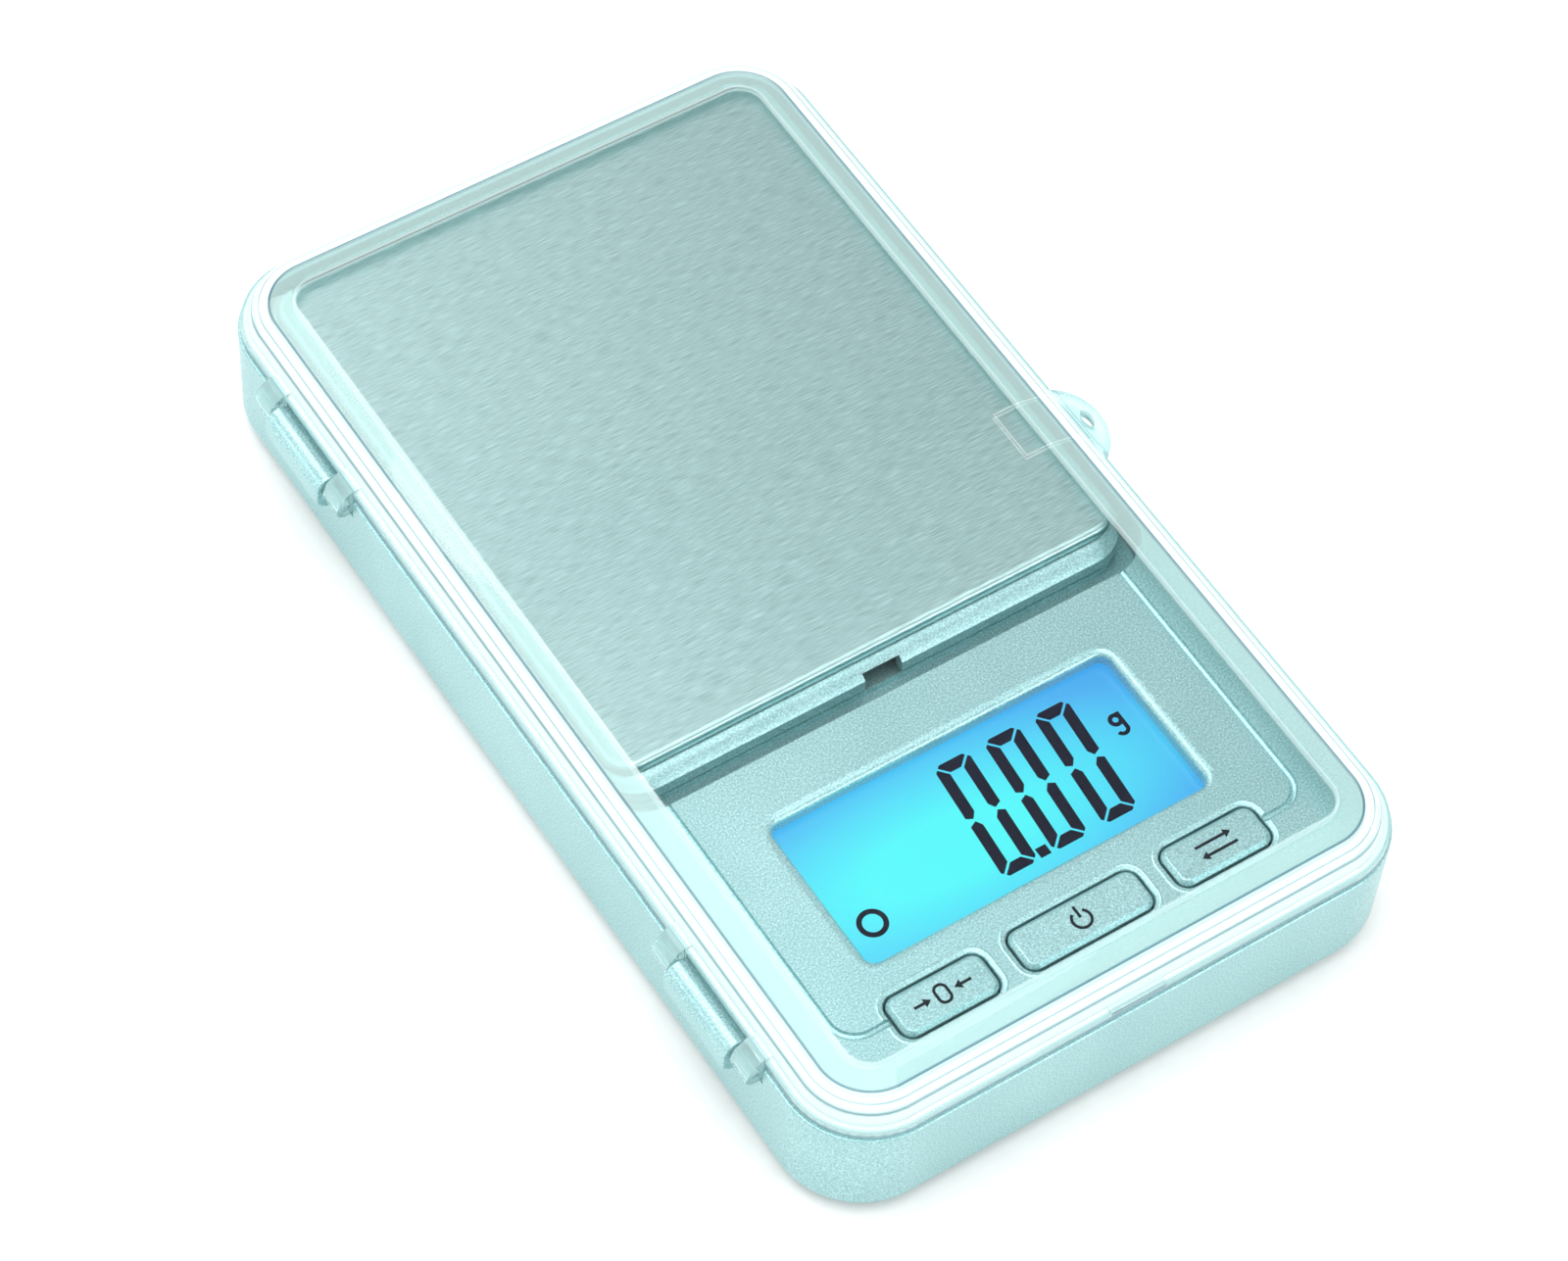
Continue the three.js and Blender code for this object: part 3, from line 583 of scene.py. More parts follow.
def lit_display():
    """The display's lit glass: cyan in the middle of the light guide, bluer towards its edges."""
    m = blank("lit_display")
    where = add(m, "ShaderNodeTexCoord").outputs["Object"]
    # The glow is an ellipse, brightest a little to the front left of the middle.
    reach_x, reach_y = 40 * MM, 15.5 * MM
    heart = (PANEL.centre + Vector((-6, -1.5, 0))) * MM
    spread = add(m, "ShaderNodeMapping", {
        "Vector": where,
        "Location": (-heart.x / reach_x, -heart.y / reach_y, 0),
        "Scale": (1 / reach_x, 1 / reach_y, 0),
    }).outputs["Vector"]
    fall = add(m, "ShaderNodeTexGradient", {"Vector": spread}, gradient_type="SPHERICAL")
    wobble = maths(m, "MULTIPLY_ADD", speckle(m, 0.25, where), 0.05, fall.outputs["Fac"])
    glow = shades(m, wobble, [
        (0.0, "#3E9FEE"), (0.25, "#49B4F6"), (0.5, "#4FDCFC"), (0.8, "#52FCFE"),
    ])
    return principled(m, {
        "Base Color": colour("#0A1A20"),
        "Roughness": 0.25,
        "Emission Color": glow,
        "Emission Strength": 1.0,
    })


def ink(name, dark, light):
    """Pad printed or crystal ink: flat and dark, its edge a touch uneven."""
    m = blank(name)
    grain = speckle(m, 0.12, coordinates(m))
    return principled(m, {
        "Base Color": shades(m, grain, [(0.4, dark), (0.6, light)]),
        "Roughness": 0.5,
        "Specular IOR Level": 0.15,
    })


def green_board():
    """Glass fibre board under green solder resist: copper tracks show as lighter lines."""
    m = blank("green_board")
    tracks = add(m, "ShaderNodeTexBrick", {
        "Vector": coordinates(m),
        "Scale": per_metre(6),
        "Mortar Size": 0.03,
        "Color1": colour("#0D4A2A"),
        "Color2": colour("#0F5230"),
        "Mortar": colour("#2B7A4C"),
    })
    return principled(m, {
        "Base Color": tracks.outputs["Color"],
        "Roughness": 0.3,
        "Coat Weight": 0.4,
    })


def battery_sleeve(name, towards):
    """Shrunk plastic sleeve on a cell: a dark body with a copper band at its positive end."""
    m = blank(name)
    where = add(m, "ShaderNodeTexCoord").outputs["Object"]
    along = add(m, "ShaderNodeSeparateXYZ", {"Vector": where}).outputs["X"]
    end = towards * 24 * MM
    stops = [(0.0, "#161B22"), (0.69, "#1B222B"), (0.7, "#B5713A"), (0.99, "#BE7A42")]
    return principled(m, {
        "Base Color": shades(m, mapped(m, along, -end, end), stops),
        "Roughness": 0.25,
        "Metallic": 0.3,
    })


SILVER = silver_painted_abs()
STEEL = brushed_stainless()
CLEAR = clear_polystyrene()
PLATED = plated_steel()
ALUMINIUM = milled_aluminium()
BLACK = moulded("black_abs", "#17181A", "#1F2124", 0.5)
WHITE = moulded("white_abs", "#DDE2E1", "#E9EDEC", 0.45)
RUBBER = moulded("black_rubber", "#141516", "#1E1F21", 0.75, 0.5)
DIFFUSER = moulded("milky_light_guide", "#D5F0F5", "#E6FAFD", 0.3)
FOIL = moulded("gauge_foil", "#A8702C", "#C18A40", 0.35, 0.2)
RESIN = moulded("black_epoxy", "#0E0F10", "#18191B", 0.4, 0.2)
LIT = lit_display()
SEGMENT_INK = ink("display_segments", "#060A1C", "#090E24")
LEGEND_INK = ink("legend_print", "#0E171D", "#162229")
BOARD = green_board()
SLEEVES = {
    "battery_front": battery_sleeve("battery_sleeve_front", 1),
    "battery_rear": battery_sleeve("battery_sleeve_rear", -1),
}


# ---------- casing ----------
def hinge_arc(radius, start, end, steps):
    """Points (x, z) on an arc round the hinge line, between two angles in degrees."""
    arc = []
    for i in range(steps + 1):
        angle = math.radians(start + (end - start) * i / steps)
        arc.append((HINGE_X + radius * math.cos(angle), HINGE_Z + radius * math.sin(angle)))
    return arc


def barrel_shape(y):
    """A hinge knuckle: round on top, with a straight flank down the case's side."""
    outer, foot, flank = HINGE_X - BARREL, HINGE_Z - 2.8, HINGE_Z - 1.9
    arc = hinge_arc(BARREL, 180, 0, 24)
    outline = [(-34, foot), (outer + 0.9, foot), (outer, flank), *arc]
    shape = prism_along_y(outline, y - BARREL_HALF, y + BARREL_HALF)
    ease = shape.modifiers.new("eased ends", "BEVEL")
    ease.width = 0.18
    ease.segments = 3
    ease.limit_method = "ANGLE"
    ease.angle_limit = math.radians(50)
    return applied(shape)


def bottom_edge():
    """Levels of the rounded edge under the case, which its battery cover shares."""
    return rounding(0.7, 2, CASE_FLOOR, 0, 7, upright_first=False)


def tub():
    """The case's tub without its openings."""
    levels = [
        *bottom_edge(),
        (CASE_RIM - 0.25, 0),
        *rounding(CASE_RIM - 0.2, 0, CASE_RIM, 0.2, 3),
        (CASE_RIM, CASE_WALL - 0.1),
        (CASE_RIM - 0.1, CASE_WALL),
        (CASE_FLOOR, CASE_WALL),
    ]
    return loft(CASE.high.x, CASE.high.y, CASE_CORNER, levels)


def make_case():
    body = tub()
    bay_x, bay_front, bay_wall, bay_top = BAY.values()
    back = CASE.high.y - 0.6
    cell_seat = block(-5.5, 5.5, -14.6, -2.8, SUNK, 4.5)
    walls = [
        block(-bay_x, bay_x, bay_front, bay_front + bay_wall, SUNK, bay_top),
        block(-bay_x, bay_wall - bay_x, bay_front, back, SUNK, bay_top),
        block(bay_x - bay_wall, bay_x, bay_front, back, SUNK, bay_top),
        cell_seat,
    ]
    post_radius, post_top = 3.2, 4.6
    posts = [rod(x, y, post_radius, SUNK, post_top) for x, y in SCREW_PLACES]
    joined(body, *walls, *posts, *[barrel_shape(y) for y in BARREL_Y])
    door_front, past_back = DOOR.low.y - GAP, CASE.high.y + BEYOND
    slide = DOORWAY_HALF_X + 1  # the grooves that the battery cover's edges slide in
    holes = [
        block(-DOORWAY_HALF_X, DOORWAY_HALF_X, door_front, past_back, -BEYOND, CASE_FLOOR + 0.2),
        block(-slide, slide, door_front, past_back, 1.1, 2.2),
    ]
    outside, pocket_x = -CASE.high.x - BEYOND, 0.8 - CASE.high.x
    pocket_floor, past_rim = 11.8, 20
    for y in BARREL_Y:
        holes.append(rod_along_y(HINGE_X, HINGE_Z, PIN_BORE, y - LUG_REACH, y + LUG_REACH, 24))
        for front in (y - LUG_REACH - LUG_LENGTH, y + LUG_REACH):
            near, far = front - GAP, front + LUG_LENGTH + GAP
            holes.append(block(outside, pocket_x, near, far, pocket_floor, past_rim))
    foot_hole, foot_hole_top = 3.1, 1.6
    for foot in FEET:
        spot = Space(f"foot_{foot}").centre
        holes.append(rod(spot.x, spot.y, foot_hole, -BEYOND, foot_hole_top))
    for x, y in SCREW_PLACES:
        holes += countersunk(x, y, 1.3, 2.4)
    for y in CELL_SCREWS_Y:
        holes += countersunk(0, y, 1.5, 2.6)
    holes += [rod(0, y, 2.6, -BEYOND, 4) for y in CARRIER_SCREWS_Y]
    cut(body, *holes)
    finish_piece(body, "case_tub", SILVER, "base", ["bottom_case"])


def countersunk(x, y, shank, head):
    """The hole for a screw driven from below: its shank and its sunk head."""
    shank_top, head_top = 6, 2.6
    return [rod(x, y, shank, -BEYOND, shank_top, 24), rod(x, y, head, -BEYOND, head_top)]


def lip_ring(half_x, half_y, corner, centre, out, width, height):
    """A low bead on the deck round an opening, its crest so far out from the opening's wall."""
    return loft(half_x, half_y, corner, [
        (DECK_TOP - 0.3, -out + width / 2),
        (DECK_TOP, -out + width / 2),
        (DECK_TOP + height, -out),
        (DECK_TOP, -out - width / 2),
        (DECK_TOP - 0.3, -out - width / 2),
    ], centre, ring=True)


def button_spot(space):
    return (space.centre.x, space.centre.y)


def make_deck():
    half_x, half_y = DECK.high.x, DECK.high.y
    body = loft(half_x, half_y, DECK_CORNER, [
        (9, 0),
        (DECK_TOP - 0.4, 0),
        *rounding(DECK_TOP - 0.35, 0, DECK_TOP, 0.35, 4),
    ])
    inner_x, inner_y = half_x - CASE_WALL, half_y - CASE_WALL
    well_underside = 11
    hollow = [
        block(-inner_x, inner_x, -inner_y, WELL_FRONT, 0, DECK_UNDERSIDE),
        block(-inner_x, inner_x, WELL_FRONT - 1, inner_y, 0, well_underside),
    ]
    well = loft(**WELL, levels=[
        (11.4, 0.2),
        (11.6, 0),
        (DECK_TOP - 0.25, 0),
        *rounding(DECK_TOP - 0.2, 0, DECK_TOP + 0.02, -0.25, 3),
        (DECK_TOP + BEYOND, -0.25),
    ])
    cut(body, *hollow, well)
    # The well's floor stands above a channel that runs round its edge.
    floor = loft(**WELL, levels=[(11.2, 2.6), (12.1, 2.6), (12.2, 2.7)])
    hump_levels = [(11.1, 0), (14.1, 0), *rounding(14.2, 0, 14.5, 0.3, 3)]
    joined(body, floor, loft(24.6, 11.9, 1.2, hump_levels, HUMP_CENTRE))
    cut(body, loft(23.7, 11, 0.8, [(0, 0), (13.5, 0)], HUMP_CENTRE))

    boss_top = DECK_UNDERSIDE + 0.2
    joined(
        body,
        *[rod(x, y, 2.4, 4.9, boss_top if y < 0 else 12) for x, y in SCREW_PLACES],
        *[rod(x, y, 1.9, 8.9, boss_top) for x, y in BOARD_SCREWS],
    )
    joined(body, lip_ring(**WINDOW, out=1.05, width=0.5, height=0.07))
    for button in BUTTONS.values():
        joined(body, lip_ring(
            button.half.x, BUTTON_HALF_Y, BUTTON_CORNER, button_spot(button), 0.55, 0.45, 0.1
        ))

    openings = [loft(**WINDOW, levels=[
        (12.4, 0),
        (DECK_TOP - 0.7, 0),
        *rounding(DECK_TOP - 0.65, 0, DECK_TOP + 0.005, -0.8, 6),
        (DECK_TOP + 0.3, -0.8),
    ])]
    for button in BUTTONS.values():
        openings.append(loft(button.half.x, BUTTON_HALF_Y, BUTTON_CORNER, [
            (12.4, 0),
            (DECK_TOP - 0.3, 0),
            *rounding(DECK_TOP - 0.28, 0, DECK_TOP + 0.005, -0.28, 4),
            (DECK_TOP + 0.3, -0.28),
        ], button_spot(button)))
    openings.append(gather([rod(x, y, 1.3, 0, 10.2, 24) for x, y in SCREW_PLACES]))
    openings.append(gather([rod(x, y, 1, 0, 12.4, 24) for x, y in BOARD_SCREWS]))
    # Here the carrier's foot comes down through the well's floor to the load cell.
    openings.append(block(-5.3, 5.3, 14.7, 28.3, 0, DECK_TOP))
    openings.append(groove_shape())
    cut(body, *openings)
    finish_piece(body, "deck", SILVER, "base", ["top_case"])


def groove_shape():
    """The engraved line that frames the display on three sides."""
    half_x, front, back = 27.1, -49.5, 20
    line = loft(half_x, (back - front) / 2, 3, [
        (DECK_TOP + 0.1, -0.48),
        (DECK_TOP, -0.42),
        (DECK_TOP - 0.34, -0.28),
        (DECK_TOP - 0.45, 0),
        (DECK_TOP - 0.34, 0.28),
        (DECK_TOP, 0.42),
        (DECK_TOP + 0.1, 0.48),
    ], (0, (front + back) / 2), ring=True)
    return cut(
        line,
        block(-21.9, 21.9, front - 2, front + 2, 0, 20),
        block(-40, 40, -17.6, 60, 0, 20),
    )


# ---------- lid ----------
def lug_shape(front):
    """A clear ear of the lid that takes the hinge pin."""
    outline = [
        *hinge_arc(LUG_RADIUS, 180, 360, 12),
        (HINGE_X + LUG_RADIUS, LID_RIM + 0.1),
        (-33.2, 15.0),
        (-33, 15.8),
        (-34.5, 15.6),
        (-35.8, 14.7),
    ]
    return prism_along_y(outline, front, front + LUG_LENGTH)


# The lid's section from its rim to the middle of its top, as (z, inset from its outline).
LID_OUTSIDE = [
    (LID_RIM, 0.1),
    (LID_RIM + 0.1, 0),
    (15.2, 0.08),
    (15.35, 0.2),
    (15.45, 0.62),
    (15.6, 0.78),
    (16.7, 1.15),
    (17.1, 1.4),
    (17.4, 1.8),
    (17.65, 2.4),
    (18.4, 5.0),
    (18.52, 5.5),
    (LID.high.z, 6.1),
]
LID_INSIDE = [
    (LID_RIM, 1.05),
    (LID_RIM + 0.1, 1.15),
    (15.2, 1.3),
    (15.4, 1.75),
    (15.9, 2.15),
    (16.4, 2.55),
    (16.75, 3.1),
    (17.0, 3.7),
    (17.42, 5.6),
    (17.5, 6.3),
]


def tab_shape():
    """The round finger tab, with a raised bead near its edge."""
    under, flat = LID_RIM, 15.55
    disc = turned([
        (0, under),
        (TAB_RADIUS - 0.15, under),
        (TAB_RADIUS, under + 0.15),
        (TAB_RADIUS, 15.35),
        (TAB_RADIUS - 0.25, 15.75),
        (TAB_RADIUS - 0.6, 15.9),
        (TAB_RADIUS - 1.2, 15.7),
        (TAB_RADIUS - 1.5, flat),
        (0, flat),
    ], (LID.high.x - TAB_RADIUS, TAB_Y, 0), 72)
    return cut(disc, block(-40, LID_HALF_X - 0.9, -12, 12, 0, 20))


def make_lid():
    levels = [
        (z, inset, inset * LID_LEAN if inset > 2 else inset)
        for z, inset in [*LID_OUTSIDE[::-1], *LID_INSIDE]
    ]
    body = loft(LID_HALF_X, LID.high.y, LID_CORNER, levels)
    joined(body, *[lug_shape(front) for front in LUG_FRONTS], tab_shape())
    front = -LID.high.y
    joined(body, block(-3.5, 3, front + 0.02, front + 1, LID_RIM + 0.1, 15.7, 0.15))
    notches = [block(-40, -32.6, y - LUG_REACH, y + LUG_REACH, 0, 14.95) for y in BARREL_Y]
    bores = [
        rod_along_y(HINGE_X, HINGE_Z, PIN_BORE, front - 1, front + LUG_LENGTH + 1, 24)
        for front in LUG_FRONTS
    ]
    eye = kept_inside(*[rod(x, TAB_Y, EYE_RADIUS, 0, 20, 48) for x in EYE_X])
    cut(body, *notches, *bores, eye)
    finish_piece(body, "clear_lid", CLEAR, "lid", ["lid"], crease=28)


# ---------- weighing platform ----------
def make_tray():
    """The pressed steel tray: a thin sheet with its edge turned down."""
    low, high = TRAY.low.z, TRAY.high.z
    sheet, edge = 0.5, 0.7
    levels = [
        (high, edge + 0.05),
        *rounding(high, edge, high - 0.6, 0, 7, upright_first=False),
        (low + 0.05, 0),
        (low, 0.05),
        (low, sheet - 0.05),
        (low + 0.05, sheet),
        (high - sheet, sheet),
    ]
    body = loft(TRAY.half.x, TRAY.half.y, 3, levels, (0, TRAY.centre.y))
    finish_piece(body, "weighing_pan", STEEL, "platform", ["weighing_tray"])


def make_carrier():
    """The frame under the tray: its skirt slopes out from a shoulder and has four notches."""
    bottom, top = 12.8, CARRIER.high.z
    shoulder = 15.3
    levels = [
        (top, 2.3, 2.8),
        (shoulder + 0.01, 2.3, 2.8),
        (shoulder, 1.6),
        (14.9, 0.9),
        (14.55, 0.4),
        *rounding(14.35, 0.2, 14.1, 0.04, 4, upright_first=False),
        (bottom + 0.1, 0),
        (bottom, 0.1),
        (bottom, 1.0),
        (bottom + 0.1, 1.1),
        (14, 1.3),
        (15, 2.5),
    ]
    body = loft(CARRIER.half.x, CARRIER.half.y, 5, levels, (0, CARRIER.centre.y))
    joined(body, block(-4.5, 4.5, 15.5, 27.5, 10.6, 15.5, 0.2))  # the foot on the load cell
    half_x, front, back = CARRIER.half.x, CARRIER.low.y, CARRIER.high.y
    wide, deep, side_y = 2.2, 2.2, (18, 22)
    notches = [
        (-wide, wide, front - 1, front + deep),
        (-wide, wide, back - deep, back + 1),
        (-half_x - 1, -half_x + deep, *side_y),
        (half_x - deep, half_x + 1, *side_y),
    ]
    cut(
        body,
        *[block(*notch, 0, 14.8) for notch in notches],
        *[rod(0, y, 1.5, 0, 14.6, 24) for y in CARRIER_SCREWS_Y],
    )
    finish_piece(body, "pan_carrier_shell", SILVER, "platform", ["pan_carrier"])


# ---------- display ----------
DIGIT = dict(width=4.36, height=14.36, stroke=1.5, gap=0.26, lean=0.08)
DIGITS_X = (-2.93, 3.02, 8.97)
DIGITS_Y = -41.18
INK_HEIGHT = 0.04


def flat_mark(outline, z, shrink=0.0):
    """A thin printed shape, drawn in from its outline by a small margin."""
    bm = bmesh.new()
    face = bm.faces.new([bm.verts.new((x, y, z)) for x, y in outline])
    if shrink:
        bm.normal_update()
        margin = bmesh.ops.inset_region(
            bm, faces=[face], thickness=shrink, use_boundary=True, use_even_offset=True
        )
        bmesh.ops.delete(bm, geom=margin["faces"], context="FACES")
        face = bm.faces[:][0]
    grown = bmesh.ops.extrude_face_region(bm, geom=[face])["geom"]
    bmesh.ops.translate(bm, verts=verts_of(grown), vec=(0, 0, INK_HEIGHT))
    return fresh(bm, "mark")


def digit_marks(left, bottom, z):
    """The six lit segments of a nought, leaning to the right."""
    w, h, t = DIGIT["width"], DIGIT["height"], DIGIT["stroke"]
    c, middle = 0.5 * t, h / 2  # c is the size of the cut corners
    corner = (c / 2, h - c / 2)
    top = [corner, (c, h), (w - c, h), (w - c / 2, h - c / 2), (w - t, h - t), (t, h - t)]
    side = [
        (0, h - c),
        corner,
        (t, h - t),
        (t, middle + 0.55 * t),
        (0.6 * t, middle),
        (0, middle + 0.3 * t),
    ]
    outlines = [
        top,
        side,
        [(w - x, y) for x, y in side],
        [(x, h - y) for x, y in side],
        [(w - x, h - y) for x, y in side],
        [(x, h - y) for x, y in top],
    ]
    marks = []
    for outline in outlines:
        leaning = [(left + x + y * DIGIT["lean"], bottom + y) for x, y in outline]
        marks.append(flat_mark(leaning, z, DIGIT["gap"] / 2))
    return marks


def ring_mark(x, y, inner, outer, z, part=360, start=0):
    """A flat ring, or a part of one that starts at an angle in degrees."""
    bm = bmesh.new()
    way = Vector((math.cos(math.radians(start)), math.sin(math.radians(start)), 0))
    points = [bm.verts.new(way * radius) for radius in (inner, outer)]
    edge = bm.edges.new(points)
    bmesh.ops.spin(
        bm,
        geom=[*points, edge],
        cent=(0, 0, 0),
        axis=(0, 0, 1),
        angle=math.radians(part),
        steps=max(8, int(part / 7.5)),
        use_merge=part == 360,
    )
    grown = bmesh.ops.extrude_face_region(bm, geom=bm.faces[:])["geom"]
    bmesh.ops.translate(bm, verts=verts_of(grown), vec=(0, 0, INK_HEIGHT))
    bmesh.ops.translate(bm, verts=bm.verts, vec=(x, y, z))
    return fresh(bm, "ring")


def bar_mark(x0, x1, y0, y1, z):
    return flat_mark([(x0, y0), (x1, y0), (x1, y1), (x0, y1)], z)


def gram_mark(z):
    """A small g: a bowl, a stem and a tail."""
    x, bowl_y, tail_y = 17.15, -31.55, -32.75
    return joined(
        ring_mark(x, bowl_y, 0.32, 0.78, z),
        bar_mark(x + 0.35, x + 0.8, -33.0, -30.8, z),
        ring_mark(x, tail_y, 0.37, 0.8, z, 160, 200),
    )


def make_display():
    low, high = PANEL.low, PANEL.high
    panel = block(low.x, high.x, low.y, high.y, low.z, high.z, 0.15)
    finish_piece(panel, "lit_panel", LIT, "base", ["lcd_glass"])
    z = high.z
    marks = [mark for x in DIGITS_X for mark in digit_marks(x, DIGITS_Y, z)]
    point = bar_mark(1.65, 2.85, -41, -39.85, z)
    ready_ring = ring_mark(-16.5, -38.6, 1.05, 1.6, z)
    marks += [point, ready_ring, gram_mark(z)]
    finish_piece(gather(marks), "display_segments", SEGMENT_INK, "base")


# ---------- buttons ----------
def arrow_mark(x, y, length, z, towards):
    """A small arrow lying along X, its tip to the right (1) or to the left (-1)."""
    head, wing, stem = 0.75, 0.5, 0.15
    tip = x + towards * length / 2
    neck = tip - towards * head
    tail = x - towards * length / 2
    outline = [
        (tail, y - stem),
        (neck, y - stem),
        (neck, y - wing),
        (tip, y),
        (neck, y + wing),
        (neck, y + stem),
        (tail, y + stem),
    ]
    return flat_mark(outline if towards > 0 else outline[::-1], z)


def legend(side, x, y, z):
    """Zero for the left button, power for the centre one, change of unit for the right one."""
    if side == "left":
        top = z + INK_HEIGHT
        nought = loft(0.8, 1.15, 0.75, [(z, 0), (top, 0), (top, 0.3), (z, 0.3)], (x, y), ring=True)
        return [nought, arrow_mark(x - 2.3, y, 1.9, z, 1), arrow_mark(x + 2.3, y, 1.9, z, -1)]
    if side == "centre":
        stroke = bar_mark(x - 0.15, x + 0.15, y + 0.1, y + 1.45, z)
        return [ring_mark(x, y - 0.1, 0.85, 1.15, z, 290, 125), stroke]
    return [arrow_mark(x, y + 0.65, 4.2, z, 1), arrow_mark(x, y - 0.65, 4.2, z, -1)]


def make_buttons():
    for side, space in BUTTONS.items():
        x, y = button_spot(space)
        top, flange = space.high.z, 12.6
        cap = loft(space.half.x - BUTTON_GAP, BUTTON_HALF_Y - BUTTON_GAP, 1.25, [
            (space.low.z, -0.2),
            (flange, -0.2),
            (flange, 0),
            (top - 0.5, 0),
            (top - 0.42, 0.03),
            (top - 0.08, 0.36),
            (top, 0.5),
        ], (x, y))
        body = f"{side}_button"
        finish_piece(cap, f"{side}_button_cap", SILVER, body, [f"button_{side}"])
        marks = gather(legend(side, x, y, top))
        finish_piece(marks, f"{side}_button_legend", LEGEND_INK, body)


# ---------- base fittings ----------
def make_feet():
    for name in FEET:
        space = Space(f"foot_{name}")
        radius, low, high = space.half.x, space.low.z, space.high.z
        foot = turned([
            (0, low + 0.12),
            (radius - 1.2, low + 0.12),
            (radius - 0.95, low),
            (radius - 0.35, low),
            (radius - 0.1, low + 0.12),
            (radius, low + 0.35),
            (radius, high),
            (0, high),
        ], (space.centre.x, space.centre.y, 0), 48)
        finish_piece(foot, f"rubber_foot_{name}", RUBBER, "base", [f"foot_{name}"])


def make_hinge_pins():
    for name in ("front", "rear"):
        space = Space(f"hinge_pin_{name}")
        radius, y0, y1 = space.half.x, space.low.y, space.high.y
        ease = 0.15
        pin = turned([
            (0, y0),
            (radius - ease, y0),
            (radius, y0 + ease),
            (radius, y1 - ease),
            (radius - ease, y1),
            (0, y1),
        ], (space.centre.x, 0, space.centre.z), 32, along_y=True)
        stands_for = [f"hinge_pin_{name}"]
        finish_piece(pin, f"hinge_rod_{name}", PLATED, "base", stands_for)


def make_door():
    """The battery cover: a slice of the case's floor, with edges that slide and grooves to grip."""
    front, back = DOOR.low.y, CASE.high.y
    slab_levels = [*bottom_edge(), (CASE_FLOOR + 1, 0)]
    body = kept_inside(
        loft(CASE.high.x, back, CASE_CORNER, slab_levels),
        block(-23.7, 23.7, front, back + BEYOND, 0, 2.4),
    )
    joined(body, block(-24.6, 24.6, front, back - 4, 1.4, 1.9))
    grips = [block(-7, 7, y - 0.4, y + 0.4, -BEYOND, 1.1, 0.15) for y in (44, 46, 48, 50, 52)]
    cut(body, *grips)
    finish_piece(
        body, "battery_cover_plate", SILVER, "battery_cover", ["battery_door"]
    )


# ---------- finishes of the pieces that keep their CAD shape ----------
def dress(material, *names):
    for name in names:
        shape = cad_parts[name]
        shape.data.materials.clear()
        shape.data.materials.append(material)


def dress_inner_pieces():
    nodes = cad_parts
    dress(PLATED, *[n for n in nodes if "screw" in n or "contact" in n])
    dress(ALUMINIUM, "load_cell")
    dress(FOIL, "strain_gauge_top", "strain_gauge_bottom")
    dress(BOARD, "main_board")
    dress(RESIN, "controller_chip")
    dress(BLACK, "lcd_connector_strip", "switch_left", "switch_centre", "switch_right")
    dress(WHITE, "lcd_frame")
    dress(DIFFUSER, "backlight_panel")
    for name, sleeve in SLEEVES.items():
        dress(sleeve, name)


# ---------- studio ----------
def white_paper():
    """A sweep of white paper: matt, with fibres that barely show."""
    m = blank("white_paper_sweep")
    fibres = speckle(m, 3, coordinates(m))
    return principled(m, {
        "Base Color": shades(m, fibres, [(0.3, "#EFEFEE"), (0.7, "#F2F2F1")]),
        "Roughness": 0.9,
    })


def make_floor():
    bm = bmesh.new()
    bmesh.ops.create_grid(bm, x_segments=1, y_segments=1, size=4)
    floor = fresh(bm, "studio_floor")
    floor.data.materials.append(white_paper())


def make_light(name, place, radius, power):
    """A round soft lamp that points at the scale. Places and sizes here are in metres."""
    lamp = bpy.data.lights.new(name, "AREA")
    lamp.shape = "DISK"
    lamp.size = 2 * radius
    lamp.energy = power
    source = bpy.data.objects.new(name, lamp)
    source.location = place
    source.rotation_euler = (-Vector(place)).to_track_quat("-Z", "Y").to_euler()
    bpy.context.scene.collection.objects.link(source)


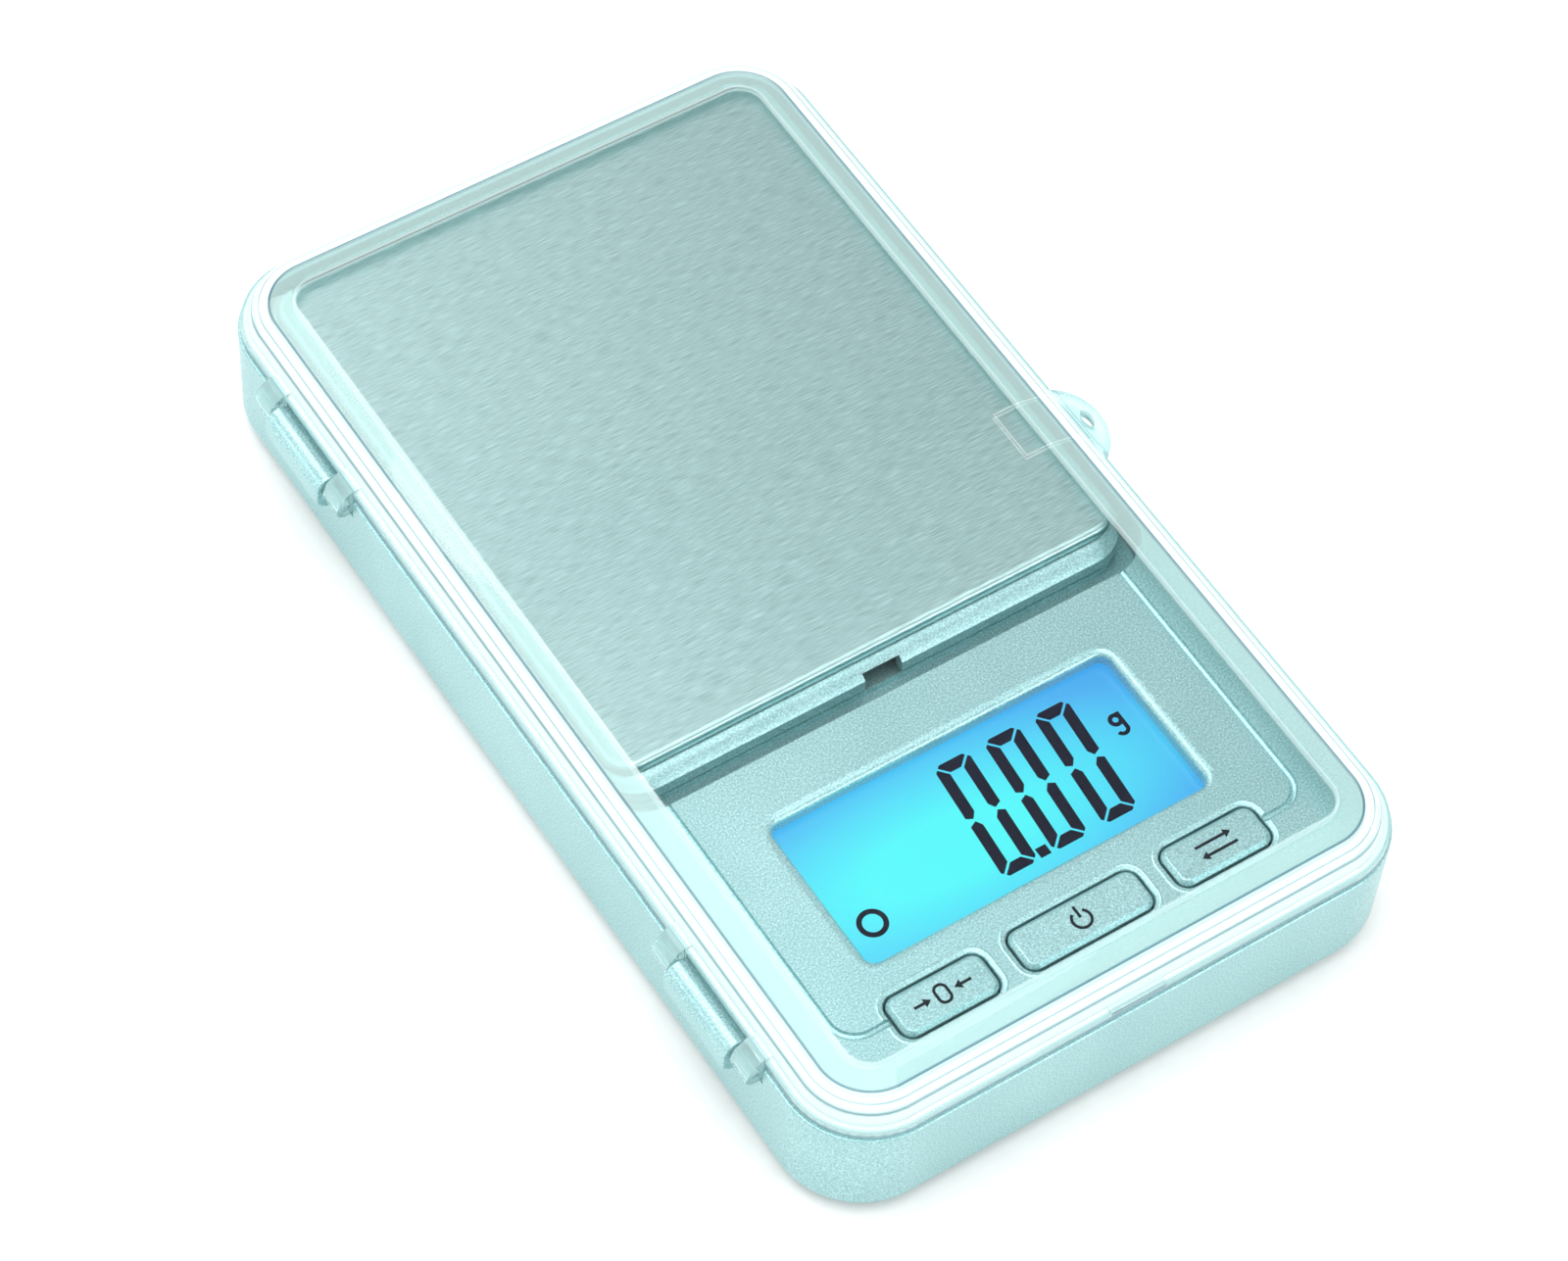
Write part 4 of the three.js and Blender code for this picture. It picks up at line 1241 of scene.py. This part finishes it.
def make_studio():
    make_floor()
    make_light("overhead_softbox", (-0.12, 0.04, 0.79), 0.46, 4.4)
    make_light("back_softbox", (-0.1, 0.6, 0.68), 0.2, 0.9)
    # Two small lamps that put bright lines on the edges that face the front and the left.
    make_light("front_lamp", (0.25, -0.56, 0.28), 0.12, 0.8)
    make_light("left_lamp", (-0.56, 0.32, 0.24), 0.12, 0.3)
    world = bpy.data.worlds.new("studio")
    world.use_nodes = True
    # The surroundings are white but for a soft dark flag, up behind the scale on the right, which
    # the flat lid and tray mirror.
    direction = add(world, "ShaderNodeTexCoord").outputs["Generated"]
    flag, core, fade_end, darkest = (0.44, 0.38, 0.815), 0.09, 0.36, 0.1
    aside = vector_maths(world, "DISTANCE", direction, flag)
    light = mapped(world, aside, core, fade_end, darkest, 1.0, interpolation_type="SMOOTHSTEP")
    background = world.node_tree.nodes["Background"]
    world.node_tree.links.new(light, background.inputs["Strength"])
    background.inputs["Color"].default_value = (1, 1, 1, 1)
    bpy.context.scene.world = world
    bpy.context.scene.view_settings.view_transform = "Standard"


def make_camera():
    """Looks down over the display end from the left, rolled a little clockwise."""
    lens = bpy.data.cameras.new("camera")
    lens.sensor_width = 36
    lens.lens = 107.6
    camera = bpy.data.objects.new("camera", lens)
    azimuth, elevation, roll = (math.radians(angle) for angle in (-37.11, 55.26, 5.05))
    distance = 475.7 * MM
    target = Vector((-2.99, -2.58, 8)) * MM
    forward = Vector((
        -math.sin(azimuth) * math.cos(elevation),
        math.cos(azimuth) * math.cos(elevation),
        -math.sin(elevation),
    ))
    camera.matrix_world = (
        Matrix.Translation(target - forward * distance)
        @ forward.to_track_quat("-Z", "Y").to_matrix().to_4x4()
        @ Matrix.Rotation(roll, 4, "Z")
    )
    bpy.context.scene.collection.objects.link(camera)
    bpy.context.scene.camera = camera


make_camera()
make_case()
make_deck()
make_lid()
make_tray()
make_carrier()
make_display()
make_buttons()
make_feet()
make_hinge_pins()
make_door()
dress_inner_pieces()
make_studio()
